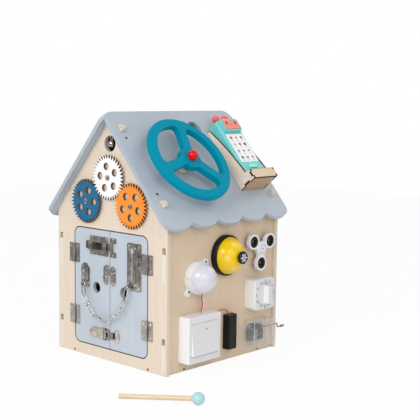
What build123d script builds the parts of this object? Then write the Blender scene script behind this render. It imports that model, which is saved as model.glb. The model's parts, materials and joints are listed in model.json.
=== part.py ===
"""A wooden busy board in the shape of a house: doors with latches, toys on the walls and the roof.

Millimetres, +Z up. The origin is the middle of the floor board's underside. The front gable with
the doors faces -Y, and the wall with the lamp, bell, spinner, timer and music box faces +X.
"""

from build123d import *
from math import asin, atan2, cos, degrees, radians, sin, sqrt, tan
import os

os.makedirs("parts", exist_ok=True)

# ---------------------------------------------------------------- house
house_width = 300.0       # across the front, over the gables' edges
house_depth = 310.0       # front to back, over the gables' outer faces
board = 8.0               # plywood of the house, the roof and the doors
wall_inset = 5.0          # the side walls stand this far inside the gables' edges
roof_pitch = 50.0         # slope of each roof panel, degrees
gable_headroom = 30.854   # from the bell's hole up to the gable's peak, which sets the ridge
fit = 0.15                # clearance all round a tab in its slot

wall_tab_low = 4.0        # underside of the lower wall tabs
wall_tab_high = 168.0     # underside of the upper wall tabs
wall_tab = 52.0           # height of each wall tab
wall_slot = 64.0          # height of each slot: the tab drops down in it

roof_overhang = 17.5      # the roof stands out this far past each gable
roof_slope = 251.0        # from the ridge down to the valleys between the lobes
lobes = 5                 # scallops along the lower edge
lobe_depth = 13.0
roof_top_corner = 22.0
roof_low_corner = 18.0
roof_tab_places = (40.0, 209.0)   # from the ridge down the slope
roof_tab = 14.0           # width of a gable tab, which is half round on top
roof_tab_stand = 8.5      # how far a tab stands out of the roof
tab_hole = 2.5
roof_hole = 32.0          # posting hole in the roof
roof_hole_s, roof_hole_y = 43.0, 43.0

# ---------------------------------------------------------------- doors and hinges
track_hinge_gap = 1.625   # from the chain's track to the hinge beside it
door_low, door_high = 22.5, 248.0
door_corner = 14.0
door_gap = 0.75           # all round the leaves
finger_hole = 21.0
finger_hole_x, finger_hole_z = 38.0, 136.0

hinge_inset_low, hinge_inset_high = 53.5, 51.0   # from the opening's edges to a hinge's middle
hinge_height = 36.5
hinge_leaf = 14.0         # from the pin's axis to the leaf's edge
hinge_plate = 1.5
knuckle = 3.0             # outer radius
knuckles = 5
hinge_pin = 1.5           # radius
running = 0.05            # radial clearance of a pin or shaft in its bore
knuckle_gap = 0.15        # at each end of a knuckle

# ---------------------------------------------------------------- top bolt
bolt_drop = 31.0          # from the opening's top to the bolt's middle
bolt_plate_left, bolt_plate_right = -54.8, -4.0
bolt_plate_height = 36.0
bolt_channel = 17.0       # width of the raised channel
bolt_channel_rise = 6.2
sheet = 1.2               # steel sheet of the bolt, keepers and latch
bolt_window = 27.0
bolt_window_x = -29.0
bolt_window_edge = 1.6    # what the window leaves of the channel's top
bolt_left, bolt_right = -63.0, -0.6
bolt_thick = 4.2
bolt_tongue = 11.0        # width of the tongue
bolt_tongue_length = 12.0
bolt_ribs, bolt_rib_pitch, bolt_rib = 5, 2.8, 1.4
bolt_play = 0.3           # between the slide and the door, and the channel's walls
keeper_left, keeper_right = 1.5, 17.5
keeper_bridge = 9.0       # length of the bridge over the tongue

# ---------------------------------------------------------------- door chain
anchor_x, anchor_low, anchor_high = -69.0, 134.5, 180.4
anchor_width = 23.4
anchor_roll = 4.2         # radius of the rolled edge
anchor_roll_low, anchor_roll_high = 149.0, 171.0
anchor_hole = 7.0
stud_x, stud_z = -64.0, 141.0
stud = 1.5                # radius of the studs that carry the chain's ends
chain_plane = 10.5        # the chain hangs this far in front of the doors
wire = 2.6                # chain wire
link_width = 10.8
link_pitch = 22.0
link_slack = 0.1          # between the wires of two links
link_angles = (-86.0, -62.0, -44.0, -14.0, 8.0, 30.0, 48.0, 62.0, 76.0)
upper_links, middle_links = 2, 2
knob = 5.0                # radius of the knob at the chain's end
track_x, track_low = 66.0, 144.0
track_drop = 16.0         # from the opening's top to the track's upper end
track_width = 37.0
track_rise = 3.4
track_slot_x = 61.0
track_entry_drop, track_slot_low = 14.0, 158.0
track_entry = 12.0
track_slot = 5.6

# ---------------------------------------------------------------- hook latch
hook_plate_x = 10.0       # each plate's centre, left and right of the seam
hook_plate_z = 164.0
hook_plate_height = 37.0
hook_plate_width = 14.0
hook_pivot_x, hook_pivot_z = -9.5, 160.0
hook_reach = 19.5
hook_rest_angle = 76.0
hook_turn = 50.0          # the hook turns down this far onto its stud
hook_stud = 2.0
hook_sheet = 1.6          # plate under the hook and under its stud
hook_gap = 0.3            # between a plate and the hook
hook_thick = 2.4
hook_axle, hook_axle_head = 2.0, 3.6      # radii of the hook's rivet
hook_eye, hook_end = 5.0, 5.2             # radii of the hook's two ends
hook_mouth = 0.6          # clearance of the stud in the hook
hook_head = 1.4           # thickness of the rivet's head

# ---------------------------------------------------------------- draw latch
latch_z = 50.0
latch_base_left, latch_base_right = -24.0, -1.2
latch_base_height = 23.0
latch_pin_x, latch_pin_rise, latch_pin = -17.0, 2.7, 1.0
latch_knuckle = 0.7       # wall round a latch pin
latch_ear, latch_ear_inset = 1.2, 1.4     # its thickness, and how far in its middle lies
latch_sheet = 0.8
lever_length = 36.0
lever_width = 17.0
loop_pin_x = -12.5
loop_end = -0.4
loop_width = 15.0
latch_keeper_x = 19.5
latch_keeper_width, latch_keeper_height = 15.0, 26.0
catch_left = 3.2
catch_width = 12.0

# ---------------------------------------------------------------- gears
gear_teeth = 36
gear_tip, gear_root = 42.0, 35.0
tooth_root_half, tooth_tip_half = 3.9, 0.45   # half angles of a tooth, degrees
gear_spacing = 77.6       # between meshing centres
gear_door_gap = 9.5       # from the opening's top to the low gears' teeth
gear_climb = 48.0         # from the low gears' centres up to the white one's
gear_thick, gear_stand = 4.0, 2.0
gear_window, gear_window_ring = 14.0, 21.0
gear_bore = 3.0           # radius
gear_turns = (29.0, 0.0, -90.0)   # first window of the white, blue and orange gear

# ---------------------------------------------------------------- jingle bell
bell_hole = 30.0
bell_gear_gap = 5.5       # from the white gear's teeth up to the hole
jingle = 7.0              # radius
jingle_wire = 0.7
jingle_eye = 2.5
jingle_drop = 3.6         # from the top of the hole to the eye's middle
jingle_loop = 2.2         # radius of the bell's own loop
jingle_slot = 1.4

# ---------------------------------------------------------------- steering wheel
wheel_s, wheel_y = 133.5, -55.0
wheel_rise = 20.0         # from the roof to the wheel's underside
wheel_thick = 12.0
wheel_radius = 91.0
wheel_rim_inner = 73.0
wheel_hub = 23.0
wheel_boss = 16.0
spoke_width = 18.0
spoke_angle = 44.0
window_corner = 8.0
standoff = 12.5           # radius
axle = 4.0
wheel_ball = 10.0
wheel_ball_rise = 5.6     # the ball's centre above the wheel

# ---------------------------------------------------------------- phone and its cradle
ply = 4.0                 # plywood of the cradle
glue = 0.05               # gap between the cradle's boards
cradle_near, cradle_far = 70.0, 141.0     # along the roof
cradle_top, cradle_end = 56.0, 196.0      # down the slope
cradle_rise = 43.0        # height of the stop end
cradle_lip = 20.0         # depth of the board over the phone's end
cheek_toe, cheek_toe_rise = 2.0, 7.0      # the cheek's thin upper end
cheek_waist, cheek_waist_rise = 54.0, 20.0    # a point of its hollow edge
cheek_throat, cheek_throat_rise = 2.0, 30.0   # where the hollow meets the lip
phone_top_s = 46.0
phone_width = 61.0
phone_thick = 24.0
phone_corner = 12.0
phone_play = 0.3
head_from, head_long, head_wide, head_rise = 48.0, 30.0, 52.0, 7.0
face_long, face_wide, face_thick = 22.0, 42.0, 1.2
keypad_from, keypad_long, keypad_wide, keypad_thick = 82.0, 68.0, 50.0, 0.8
key_s, key_long, key_wide, key_rise, key_travel = 160.0, 9.0, 24.0, 2.6, 1.5
ear, ear_neck, ear_spread, ear_s = 7.5, 3.0, 26.0, 36.5

# ---------------------------------------------------------------- lamp
lamp_y, lamp_z = -75.8, 170.0
lamp_base, lamp_base_rise = 30.0, 16.0
lamp_dome, lamp_dome_rise = 28.7, 26.0
lamp_lug = 6.5
lamp_lug_reach = 35.5

# ---------------------------------------------------------------- switch and battery box
switch_y, switch_z, switch_size, switch_rise = -77.0, 61.5, 86.0, 26.0
rocker_width, rocker_height, rocker_thick = 72.0, 59.0, 7.0
rocker_tilt = 5.5
rocker_play = 0.5
rocker_pin = 2.0
rocker_pin_rise = 19.0
battery_y, battery_z = 13.9, 56.0
battery_width, battery_height, battery_rise = 25.1, 66.0, 15.0

# ---------------------------------------------------------------- wires
lead = 1.1                # radius of one wire
lead_rise = 8.0
lead_spread = 3.0
lead_gap = 0.8            # between a wire's end and the case it goes into
lamp_exit = 9.0           # the lamp's wires leave this far right of its middle

# ---------------------------------------------------------------- desk bell
desk_y, desk_z = 3.0, 203.0
desk_base, desk_base_rise = 38.5, 12.0
desk_dome, desk_dome_rise, desk_shell = 35.0, 27.5, 1.6
desk_button, desk_button_thick = 12.0, 4.6
desk_stem, desk_travel = 4.0, 3.0

# ---------------------------------------------------------------- spinner
spinner_y, spinner_z = 96.0, 206.5
spinner_rise, spinner_thick = 7.6, 7.2
spinner_reach, spinner_lobe, spinner_weight = 28.0, 15.0, 11.0
spinner_hub, spinner_arm = 14.0, 17.0
spinner_angle = 28.0
spinner_post, spinner_cap = 4.0, 11.0

# ---------------------------------------------------------------- timer
timer_y, timer_z = 93.75, 119.5
timer_width, timer_height, timer_rise, timer_corner = 59.5, 61.0, 26.0, 8.0
timer_dial, timer_dial_thick = 23.5, 2.0
timer_grip_width, timer_grip_length, timer_grip_rise = 13.0, 37.0, 12.0
timer_shaft = 3.0

# ---------------------------------------------------------------- music box
music_y, music_z = 95.5, 42.0
music_length, music_height, music_rise, music_wall = 65.0, 52.0, 27.0, 2.0
crank_z, crank_rise = 51.3, 15.6
crank_wire = 1.2
crank_shaft_end, crank_arm, crank_handle_end = 147.0, 8.0, 167.0
drum_y, drum, drum_low, drum_high = 104.0, 6.0, 27.0, 47.0
drum_gear, drum_gear_thick, drum_gear_teeth = 6.0, 2.6, 20
worm = 1.7
movement_plate = 48.0     # width of the base plate
movement_margin = 5.0     # how far the plate passes the drum's bearings
governor_width, governor_height, governor_rise = 6.6, 24.0, 18.0
comb_block, comb_length = 8.0, 19.5
comb_teeth = 9

# ---------------------------------------------------------------- mallet
mallet_end = (180.9, -298.5)
mallet_ball_place = (296.4, -230.3)
mallet_stick, mallet_ball = 4.2, 11.0

# ---------------------------------------------------------------- worked out from the above
slope = radians(roof_pitch)
hinge_x = track_x + track_width / 2 + track_hinge_gap + hinge_leaf
door_width = 2 * hinge_x + door_gap
gable_y = house_depth / 2
wall_x = house_width / 2 - wall_inset
gear_low_z = door_high + gear_door_gap + gear_tip
gear_top_z = gear_low_z + gear_climb
bell_hole_z = gear_top_z + gear_tip + bell_gear_gap + bell_hole / 2
apex_z = bell_hole_z + bell_hole / 2 + gable_headroom
ridge_height = apex_z + board / cos(slope)
eave_z = apex_z - house_width / 2 * tan(slope)
wall_top = apex_z - wall_x * tan(slope)
hinge_heights = (door_low + hinge_inset_low, door_high - hinge_inset_high)
bolt_z = door_high - bolt_drop
track_high = door_high - track_drop
track_entry_z = track_high - track_entry_drop

FRONT = Plane(origin=(0, -gable_y, 0), x_dir=(1, 0, 0), z_dir=(0, -1, 0))
WALL = Plane(origin=(wall_x, 0, 0), x_dir=(0, 1, 0), z_dir=(1, 0, 0))
ROOF = Plane(
    origin=(0, 0, ridge_height), x_dir=(cos(slope), 0, -sin(slope)), z_dir=(sin(slope), 0, cos(slope))
)


def finish(builder, name):
    """Labels a finished piece and writes it."""
    builder.part.label = name
    export_step(builder.part, f"parts/{name}.step")


def polar(radius, angle):
    """The point at this radius and angle, in degrees."""
    return radius * cos(radians(angle)), radius * sin(radians(angle))


def lathe(base, u, v):
    """The plane of a turned piece's profile: x is the radius, y the height over the base plane."""
    return Plane(origin=base.from_local_coords((u, v, 0)), x_dir=base.x_dir, z_dir=-base.y_dir)


def spindle(base, u, v):
    """The axis that stands on the base plane at (u, v)."""
    return Axis(base.from_local_coords((u, v, 0)), base.z_dir)


def across(base, u):
    """The plane that cuts the base plane at u: x is the base's y, y the height over it."""
    return Plane(origin=base.from_local_coords((u, 0, 0)), x_dir=base.y_dir, z_dir=base.x_dir)


def hat_section(total, channel, rise, middle):
    """A strip bent into a channel with two flanges, seen from its end."""
    with BuildSketch() as section:
        with Locations((middle, sheet / 2)):
            Rectangle(total, sheet)
        with Locations((middle, rise / 2)):
            Rectangle(channel, rise)
        with Locations((middle, (rise - sheet) / 2)):
            Rectangle(channel - 2 * sheet, rise - sheet, mode=Mode.SUBTRACT)
    return section.sketch


# ================================================================ house
def gable(front_y, with_doors):
    """A gable of the house, with the tabs that come up through the roof."""
    with BuildPart() as panel:
        with BuildSketch(Plane(origin=(0, front_y, 0), x_dir=(1, 0, 0), z_dir=(0, -1, 0))):
            half = house_width / 2
            with BuildLine():
                Polyline((-half, 0), (half, 0), (half, eave_z), (0, apex_z), (-half, eave_z), close=True)
            make_face()
            heights = [low + wall_slot / 2 - fit for low in (wall_tab_low, wall_tab_high)]
            with Locations(*[(x * (wall_x - board / 2), z) for x in (-1, 1) for z in heights]):
                Rectangle(board + 2 * fit, wall_slot, mode=Mode.SUBTRACT)
            if with_doors:
                with Locations((0, (door_low + door_high) / 2)):
                    RectangleRounded(door_width, door_high - door_low, door_corner, mode=Mode.SUBTRACT)
                with Locations((0, bell_hole_z)):
                    Circle(bell_hole / 2, mode=Mode.SUBTRACT)
        extrude(amount=-board)
        for side in (-1, 1):
            edge = Plane(
                origin=(0, front_y + board / 2, ridge_height),
                x_dir=(side * cos(slope), 0, -sin(slope)),
                z_dir=(0, -side, 0),
            )
            middle = roof_tab_stand - roof_tab / 2
            with BuildSketch(edge):
                with Locations(*[(s, middle) for s in roof_tab_places]):
                    Circle(roof_tab / 2)
                with Locations(*[(s, (middle - board - 1) / 2) for s in roof_tab_places]):
                    Rectangle(roof_tab, middle + board + 1)
                with Locations(*[(s, roof_tab_stand / 2) for s in roof_tab_places]):
                    Circle(tab_hole / 2, mode=Mode.SUBTRACT)
            extrude(amount=board / 2, both=True)
    return panel


front_gable = gable(-gable_y, True)
finish(front_gable, "front_gable")
rear_gable = gable(gable_y - board, False)
finish(rear_gable, "rear_gable")


def side_wall(low_x):
    """A side wall between the gables, with the tabs that pass through them."""
    inside = gable_y - board
    with BuildPart() as wall:
        with BuildSketch(Plane(origin=(low_x, 0, 0), x_dir=(0, 1, 0), z_dir=(1, 0, 0))):
            with Locations((0, wall_top / 2)):
                Rectangle(2 * inside, wall_top)
            for low in (wall_tab_low, wall_tab_high):
                with Locations((0, low + wall_tab / 2)):
                    Rectangle(2 * gable_y, wall_tab)
        extrude(amount=board)
    return wall


left_wall = side_wall(-wall_x)
finish(left_wall, "left_wall")
right_wall = side_wall(wall_x - board)
finish(right_wall, "right_wall")

with BuildPart() as floor_board:
    with BuildSketch(Plane.XY):
        Rectangle(2 * (wall_x - board), house_depth - 2 * board)
    extrude(amount=board)
finish(floor_board, "floor_board")


def roof_panel(side, with_hole):
    """A roof panel with a scalloped lower edge, mitred at the ridge."""
    edge = gable_y + roof_overhang
    pitch = 2 * edge / lobes
    top = Plane(
        origin=(0, 0, ridge_height),
        x_dir=(side * cos(slope), 0, -sin(slope)),
        z_dir=(side * sin(slope), 0, cos(slope)),
    )
    with BuildPart() as panel:
        with BuildSketch(top) as outline:
            with BuildLine():
                Polyline((roof_slope, -edge), (0, -edge), (0, edge), (roof_slope, edge))
                for lobe in range(lobes):
                    start = edge - lobe * pitch
                    ThreePointArc(
                        (roof_slope, start),
                        (roof_slope + lobe_depth, start - pitch / 2),
                        (roof_slope, start - pitch),
                    )
            make_face()
            corners = outline.vertices().filter_by(lambda v: abs(v.Y) > edge - 0.01)
            fillet(corners.group_by(Axis.X)[0], roof_top_corner)
            corners = outline.vertices().filter_by(lambda v: abs(v.Y) > edge - 0.01)
            fillet(corners.group_by(Axis.X)[-1], roof_low_corner)
            ends = (board / 2 - gable_y, gable_y - board / 2)
            with Locations(*[(s, y) for s in roof_tab_places for y in ends]):
                Rectangle(roof_tab + 2 * fit, board + 2 * fit, mode=Mode.SUBTRACT)
            if with_hole:
                with Locations((roof_hole_s, roof_hole_y)):
                    Circle(roof_hole / 2, mode=Mode.SUBTRACT)
        extrude(amount=-board)
        split(bisect_by=Plane.YZ, keep=Keep.TOP if side > 0 else Keep.BOTTOM)
    return panel


roof_left = roof_panel(-1, False)
finish(roof_left, "roof_left")
roof_right = roof_panel(1, True)
finish(roof_right, "roof_right")


# ================================================================ doors
def door(side):
    """A door leaf: square at the seam, rounded at the hinges, with a finger hole."""
    hinge_edge = door_width / 2 - door_gap
    low, high = door_low + door_gap, door_high - door_gap
    with BuildPart() as leaf:
        with BuildSketch(FRONT) as outline:
            with Locations((side * (hinge_edge + door_gap) / 2, (low + high) / 2)):
                Rectangle(hinge_edge - door_gap, high - low)
            hinge_corners = outline.vertices().group_by(Axis.X)[-1 if side > 0 else 0]
            fillet(hinge_corners, door_corner - door_gap)
            with Locations((side * finger_hole_x, finger_hole_z)):
                Circle(finger_hole / 2, mode=Mode.SUBTRACT)
        extrude(amount=-board)
    return leaf


left_door = door(-1)
finish(left_door, "left_door")
right_door = door(1)
finish(right_door, "right_door")


def hinge_leaves(axis_side, leaf_side, middles, with_pin):
    """Hinge leaves on the axis at axis_side, reaching out to leaf_side, one for each height.

    The frame's leaves carry the outer and middle knuckles and the pin, the door's leaves the rest.
    """
    axis_x = axis_side * hinge_x
    long = hinge_height / knuckles
    own = [k for k in range(knuckles) if (k % 2 == 0) == with_pin]
    clear = knuckle + 0.4
    with BuildPart() as leaves:
        for middle in middles:
            places = [middle - hinge_height / 2 + (k + 0.5) * long for k in own]
            with BuildSketch(FRONT):
                with Locations((axis_x + leaf_side * (clear + hinge_leaf) / 2, middle)):
                    Rectangle(hinge_leaf - clear, hinge_height)
                for place in places:
                    with Locations((axis_x + leaf_side * clear / 2, place)):
                        Rectangle(clear, long - 2 * knuckle_gap)
            extrude(amount=hinge_plate)
            for place in places:
                low = place - long / 2 + knuckle_gap
                with BuildSketch(Plane.XY.offset(low)):
                    with Locations((axis_x, -gable_y - knuckle)):
                        Circle(knuckle)
                extrude(amount=long - 2 * knuckle_gap)
            with BuildSketch(Plane.XY.offset(middle - hinge_height / 2)):
                with Locations((axis_x, -gable_y - knuckle)):
                    Circle(hinge_pin if with_pin else hinge_pin + running)
            extrude(amount=hinge_height, mode=Mode.ADD if with_pin else Mode.SUBTRACT)
    return leaves


with BuildPart() as frame_hinge_leaves:
    for edge_side in (-1, 1):
        add(hinge_leaves(edge_side, edge_side, hinge_heights, True).part)
finish(frame_hinge_leaves, "frame_hinge_leaves")
left_hinge_leaves = hinge_leaves(-1, 1, hinge_heights, False)
finish(left_hinge_leaves, "left_hinge_leaves")
right_hinge_leaves = hinge_leaves(1, -1, hinge_heights, False)
finish(right_hinge_leaves, "right_hinge_leaves")

# ================================================================ top bolt
with BuildPart() as bolt_plate:
    with BuildSketch(across(FRONT, bolt_plate_left)):
        add(hat_section(bolt_plate_height, bolt_channel, bolt_channel_rise, bolt_z))
    extrude(amount=bolt_plate_right - bolt_plate_left)
    with BuildSketch(FRONT.offset(bolt_channel_rise)):
        with Locations((bolt_window_x, bolt_z)):
            Rectangle(bolt_window, bolt_channel - 2 * sheet - bolt_window_edge)
    extrude(amount=-sheet, mode=Mode.SUBTRACT)
finish(bolt_plate, "bolt_plate")

with BuildPart() as bolt_slide:
    slide_width = bolt_channel - 2 * sheet - 2 * bolt_play
    shoulder = bolt_right - bolt_tongue_length
    with BuildSketch(FRONT.offset(bolt_play)):
        with Locations(((bolt_left + shoulder) / 2, bolt_z)):
            Rectangle(shoulder - bolt_left, slide_width)
        with Locations(((shoulder + bolt_right) / 2, bolt_z)):
            Rectangle(bolt_right - shoulder, bolt_tongue)
    extrude(amount=bolt_thick)
    ribs = [(bolt_window_x + (k - (bolt_ribs - 1) / 2) * bolt_rib_pitch, bolt_z) for k in range(bolt_ribs)]
    with BuildSketch(FRONT.offset(bolt_play + bolt_thick)):
        with Locations(*ribs):
            Rectangle(bolt_rib, slide_width - 2 * sheet)
    extrude(amount=bolt_channel_rise - bolt_thick + 0.4)
finish(bolt_slide, "bolt_slide")

with BuildPart() as bolt_keeper:
    with BuildSketch(across(FRONT, keeper_left)):
        add(hat_section(bolt_plate_height, bolt_channel, bolt_channel_rise, bolt_z))
    extrude(amount=keeper_bridge)
    with BuildSketch(FRONT):
        flange_middle = (bolt_plate_height + bolt_channel) / 4
        for end in (-1, 1):
            with Locations(((keeper_left + keeper_right) / 2, bolt_z + end * flange_middle)):
                Rectangle(keeper_right - keeper_left, (bolt_plate_height - bolt_channel) / 2)
    extrude(amount=sheet)
finish(bolt_keeper, "bolt_keeper")

# ================================================================ door chain
with BuildPart() as chain_anchor:
    with BuildSketch(FRONT):
        middle = (anchor_low + anchor_high - anchor_width / 2) / 2
        with Locations((anchor_x, middle)):
            Rectangle(anchor_width, anchor_high - anchor_width / 2 - anchor_low)
        with Locations((anchor_x, anchor_high - anchor_width / 2)):
            Circle(anchor_width / 2)
        with Locations((anchor_x - 4.5, anchor_roll_high - 7)):
            Circle(anchor_hole / 2, mode=Mode.SUBTRACT)
    extrude(amount=sheet)
    roll_x = anchor_x + anchor_width / 2 - anchor_roll - 0.6
    with BuildSketch(Plane.XY.offset(anchor_roll_low)):
        with Locations((roll_x, -gable_y - anchor_roll)):
            Circle(anchor_roll)
            Circle(anchor_roll - sheet, mode=Mode.SUBTRACT)
    extrude(amount=anchor_roll_high - anchor_roll_low)
    with BuildSketch(FRONT):
        with Locations((stud_x, stud_z)):
            Circle(stud)
    extrude(amount=chain_plane + wire / 2 + 0.6)
    with BuildSketch(FRONT.offset(chain_plane + wire / 2 + 0.6)):
        with Locations((stud_x, stud_z)):
            Circle(stud + 1.8)
    extrude(amount=1.2)
finish(chain_anchor, "chain_anchor")

joint_points = [(stud_x, stud_z)]
for angle in link_angles:
    dx, dz = polar(link_pitch, angle)
    joint_points.append((joint_points[-1][0] + dx, joint_points[-1][1] + dz))


def link(index):
    """One link of the chain. The even ones lie flat, the odd ones stand edge-on to the door.

    Joint points are the wire centres of the edge-on links' ends, and the studs at the chain's ends.
    """
    (x0, z0), (x1, z1) = joint_points[index], joint_points[index + 1]
    angle = link_angles[index]
    flat = index % 2 == 0
    bend = (link_width - wire) / 2
    reach = wire + link_slack if flat else 0.0
    first = stud + wire / 2 + link_slack if index == 0 else reach
    last = stud + wire / 2 + link_slack if index == len(link_angles) - 1 else reach
    along = Vector(cos(radians(angle)), 0, sin(radians(angle)))
    normal = Vector(0, -1, 0) if flat else Vector(-sin(radians(angle)), 0, cos(radians(angle)))
    start = Vector(x0, -gable_y - chain_plane, z0) - along * first
    length = link_pitch + first + last
    bed = Plane(origin=start, x_dir=along, z_dir=normal)
    with BuildPart() as piece:
        with BuildLine(bed) as path:
            Line((bend, bend), (length - bend, bend))
            ThreePointArc((length - bend, bend), (length, 0), (length - bend, -bend))
            Line((length - bend, -bend), (bend, -bend))
            ThreePointArc((bend, -bend), (0, 0), (bend, bend))
        with BuildSketch(Plane(origin=path.line @ 0, z_dir=path.line % 0)):
            Circle(wire / 2)
        sweep(path=path.line)
    return piece


with BuildPart() as chain_upper:
    for number in range(upper_links):
        add(link(number).part)
finish(chain_upper, "chain_upper")

with BuildPart() as chain_middle:
    for number in range(upper_links, upper_links + middle_links):
        add(link(number).part)
finish(chain_middle, "chain_middle")

with BuildPart() as chain_lower:
    for number in range(upper_links + middle_links, len(link_angles)):
        add(link(number).part)
    knob_low = track_rise + 1.2
    with BuildSketch(FRONT.offset(knob_low)):
        with Locations(joint_points[-1]):
            Circle(knob)
    extrude(amount=2.2)
    with BuildSketch(FRONT.offset(knob_low)):
        with Locations(joint_points[-1]):
            Circle(stud)
    extrude(amount=chain_plane + wire / 2 + 0.6 - knob_low)
    with BuildSketch(FRONT.offset(chain_plane + wire / 2 + 0.4)):
        with Locations(joint_points[-1]):
            Circle(stud + 1.8)
    extrude(amount=1.2)
finish(chain_lower, "chain_lower")

with BuildPart() as chain_track:
    with BuildSketch(FRONT):
        with Locations((track_x, (track_low + track_high) / 2)):
            RectangleRounded(track_width, track_high - track_low, 3)
    extrude(amount=sheet)
    ridge_high = track_entry_z + track_entry / 2 + 3
    ridge_low = track_slot_low - track_slot / 2 - 3
    with BuildSketch(FRONT.offset(sheet)):
        with Locations((track_slot_x, (ridge_low + ridge_high) / 2)):
            RectangleRounded(track_entry + 7, ridge_high - ridge_low, 5)
    extrude(amount=track_rise - sheet, taper=30)
    with BuildSketch(FRONT.offset(track_rise)):
        with Locations((track_slot_x, track_entry_z)):
            Circle(track_entry / 2)
        with Locations((track_slot_x, (track_entry_z + track_slot_low) / 2)):
            Rectangle(track_slot, track_entry_z - track_slot_low)
        with Locations((track_slot_x, track_slot_low)):
            Circle(track_slot / 2)
    extrude(amount=-track_rise, mode=Mode.SUBTRACT)
    with BuildSketch(FRONT.offset(sheet)):
        with Locations((track_x + track_width / 2 - 8, (ridge_low + ridge_high) / 2)):
            Rectangle(4, ridge_high - ridge_low - 14)
    extrude(amount=track_rise - sheet - 0.4, taper=20)
finish(chain_track, "chain_track")


# ================================================================ hook latch
def hook_plate(side):
    """The outline of a hook plate, with round ends."""
    with BuildSketch() as outline:
        with Locations((side * hook_plate_x, hook_plate_z)):
            SlotOverall(hook_plate_height, hook_plate_width, rotation=90)
    return outline.sketch


with BuildPart() as hook_base:
    with BuildSketch(FRONT):
        add(hook_plate(-1))
    extrude(amount=hook_sheet)
    axle_end = hook_sheet + hook_gap + hook_thick + 0.2
    with BuildSketch(FRONT):
        with Locations((hook_pivot_x, hook_pivot_z)):
            Circle(hook_axle)
    extrude(amount=axle_end)
    with BuildSketch(FRONT.offset(axle_end)):
        with Locations((hook_pivot_x, hook_pivot_z)):
            Circle(hook_axle_head)
    extrude(amount=hook_head)
finish(hook_base, "hook_base")

with BuildPart() as hook:
    mouth_long = 9.0          # well past the hook's edge
    tip = (
        hook_pivot_x + polar(hook_reach, hook_rest_angle)[0],
        hook_pivot_z + polar(hook_reach, hook_rest_angle)[1],
    )
    with BuildSketch(FRONT.offset(hook_sheet + hook_gap)):
        with BuildSketch(mode=Mode.PRIVATE) as limb:
            with Locations((hook_pivot_x, hook_pivot_z)):
                Circle(hook_eye)
            with Locations(tip):
                Circle(hook_end)
            make_hull()
        add(limb.sketch)
        mouth = polar(mouth_long / 2, hook_rest_angle - 90)
        with Locations(tip):
            Circle(hook_stud + hook_mouth, mode=Mode.SUBTRACT)
        with Locations((tip[0] + mouth[0], tip[1] + mouth[1])):
            Rectangle(
                mouth_long, 2 * (hook_stud + hook_mouth), rotation=hook_rest_angle - 90, mode=Mode.SUBTRACT
            )
        with Locations((hook_pivot_x, hook_pivot_z)):
            Circle(hook_axle + running, mode=Mode.SUBTRACT)
    extrude(amount=hook_thick)
finish(hook, "hook")

catch_point = (
    hook_pivot_x + polar(hook_reach, hook_rest_angle - hook_turn)[0],
    hook_pivot_z + polar(hook_reach, hook_rest_angle - hook_turn)[1],
)
with BuildPart() as hook_catch:
    with BuildSketch(FRONT):
        add(hook_plate(1))
    extrude(amount=hook_sheet)
    stud_head = hook_sheet + hook_thick + 1.4
    with BuildSketch(FRONT):
        with Locations(catch_point):
            Circle(hook_stud)
    extrude(amount=stud_head + 1.6)
    with BuildSketch(FRONT.offset(stud_head)):
        with Locations(catch_point):
            Circle(hook_stud + 1.6)
    extrude(amount=1.6)
finish(hook_catch, "hook_catch")

# ================================================================ draw latch
ear_rise = latch_pin_rise + latch_pin + latch_knuckle
ear_reach = latch_base_height / 2 - latch_ear_inset
with BuildPart() as latch_base:
    with BuildSketch(FRONT):
        with Locations(((latch_base_left + latch_base_right) / 2, latch_z)):
            RectangleRounded(latch_base_right - latch_base_left, latch_base_height, 2)
    extrude(amount=latch_sheet)
    for end in (-1, 1):
        with BuildSketch(FRONT):
            with Locations(((latch_pin_x + loop_pin_x) / 2, latch_z + end * ear_reach)):
                Rectangle(loop_pin_x - latch_pin_x + 6, latch_ear)
        extrude(amount=ear_rise)
    for pin_x in (latch_pin_x, loop_pin_x):
        with BuildSketch(Plane.XY.offset(latch_z - ear_reach)):
            with Locations((pin_x, -gable_y - latch_pin_rise)):
                Circle(latch_pin)
        extrude(amount=2 * ear_reach)
finish(latch_base, "latch_base")

with BuildPart() as latch_lever:
    with BuildSketch(FRONT.offset(1.3)):
        lever_left = latch_pin_x - lever_length
        with Locations(((lever_left + lever_width / 2 + latch_pin_x) / 2, latch_z)):
            Rectangle(latch_pin_x - lever_left - lever_width / 2, lever_width)
        with Locations((lever_left + lever_width / 2, latch_z)):
            Circle(lever_width / 2)
    extrude(amount=2.9)
    with BuildSketch(Plane.XY.offset(latch_z - lever_width / 2)):
        with Locations((latch_pin_x, -gable_y - latch_pin_rise)):
            Circle(latch_pin + latch_knuckle)
    extrude(amount=lever_width)
    with BuildSketch(Plane.XY.offset(latch_z - lever_width / 2)):
        with Locations((latch_pin_x, -gable_y - latch_pin_rise)):
            Circle(latch_pin + running)
    extrude(amount=lever_width, mode=Mode.SUBTRACT)
finish(latch_lever, "latch_lever")

with BuildPart() as latch_loop:
    with BuildSketch(FRONT.offset(latch_pin_rise - 0.6)):
        with Locations(((loop_pin_x + loop_end) / 2, latch_z)):
            RectangleRounded(loop_end - loop_pin_x, loop_width, 1.5)
        with Locations(((loop_pin_x + loop_end) / 2 + 1.2, latch_z)):
            Rectangle(loop_end - loop_pin_x - 6, loop_width - 5, mode=Mode.SUBTRACT)
    extrude(amount=1.3)
    with BuildSketch(Plane.XY.offset(latch_z - loop_width / 2)):
        with Locations((loop_pin_x, -gable_y - latch_pin_rise)):
            Circle(latch_pin + latch_knuckle)
    extrude(amount=loop_width)
    with BuildSketch(Plane.XY.offset(latch_z - loop_width / 2)):
        with Locations((loop_pin_x, -gable_y - latch_pin_rise)):
            Circle(latch_pin + running)
    extrude(amount=loop_width, mode=Mode.SUBTRACT)
finish(latch_loop, "latch_loop")

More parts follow.
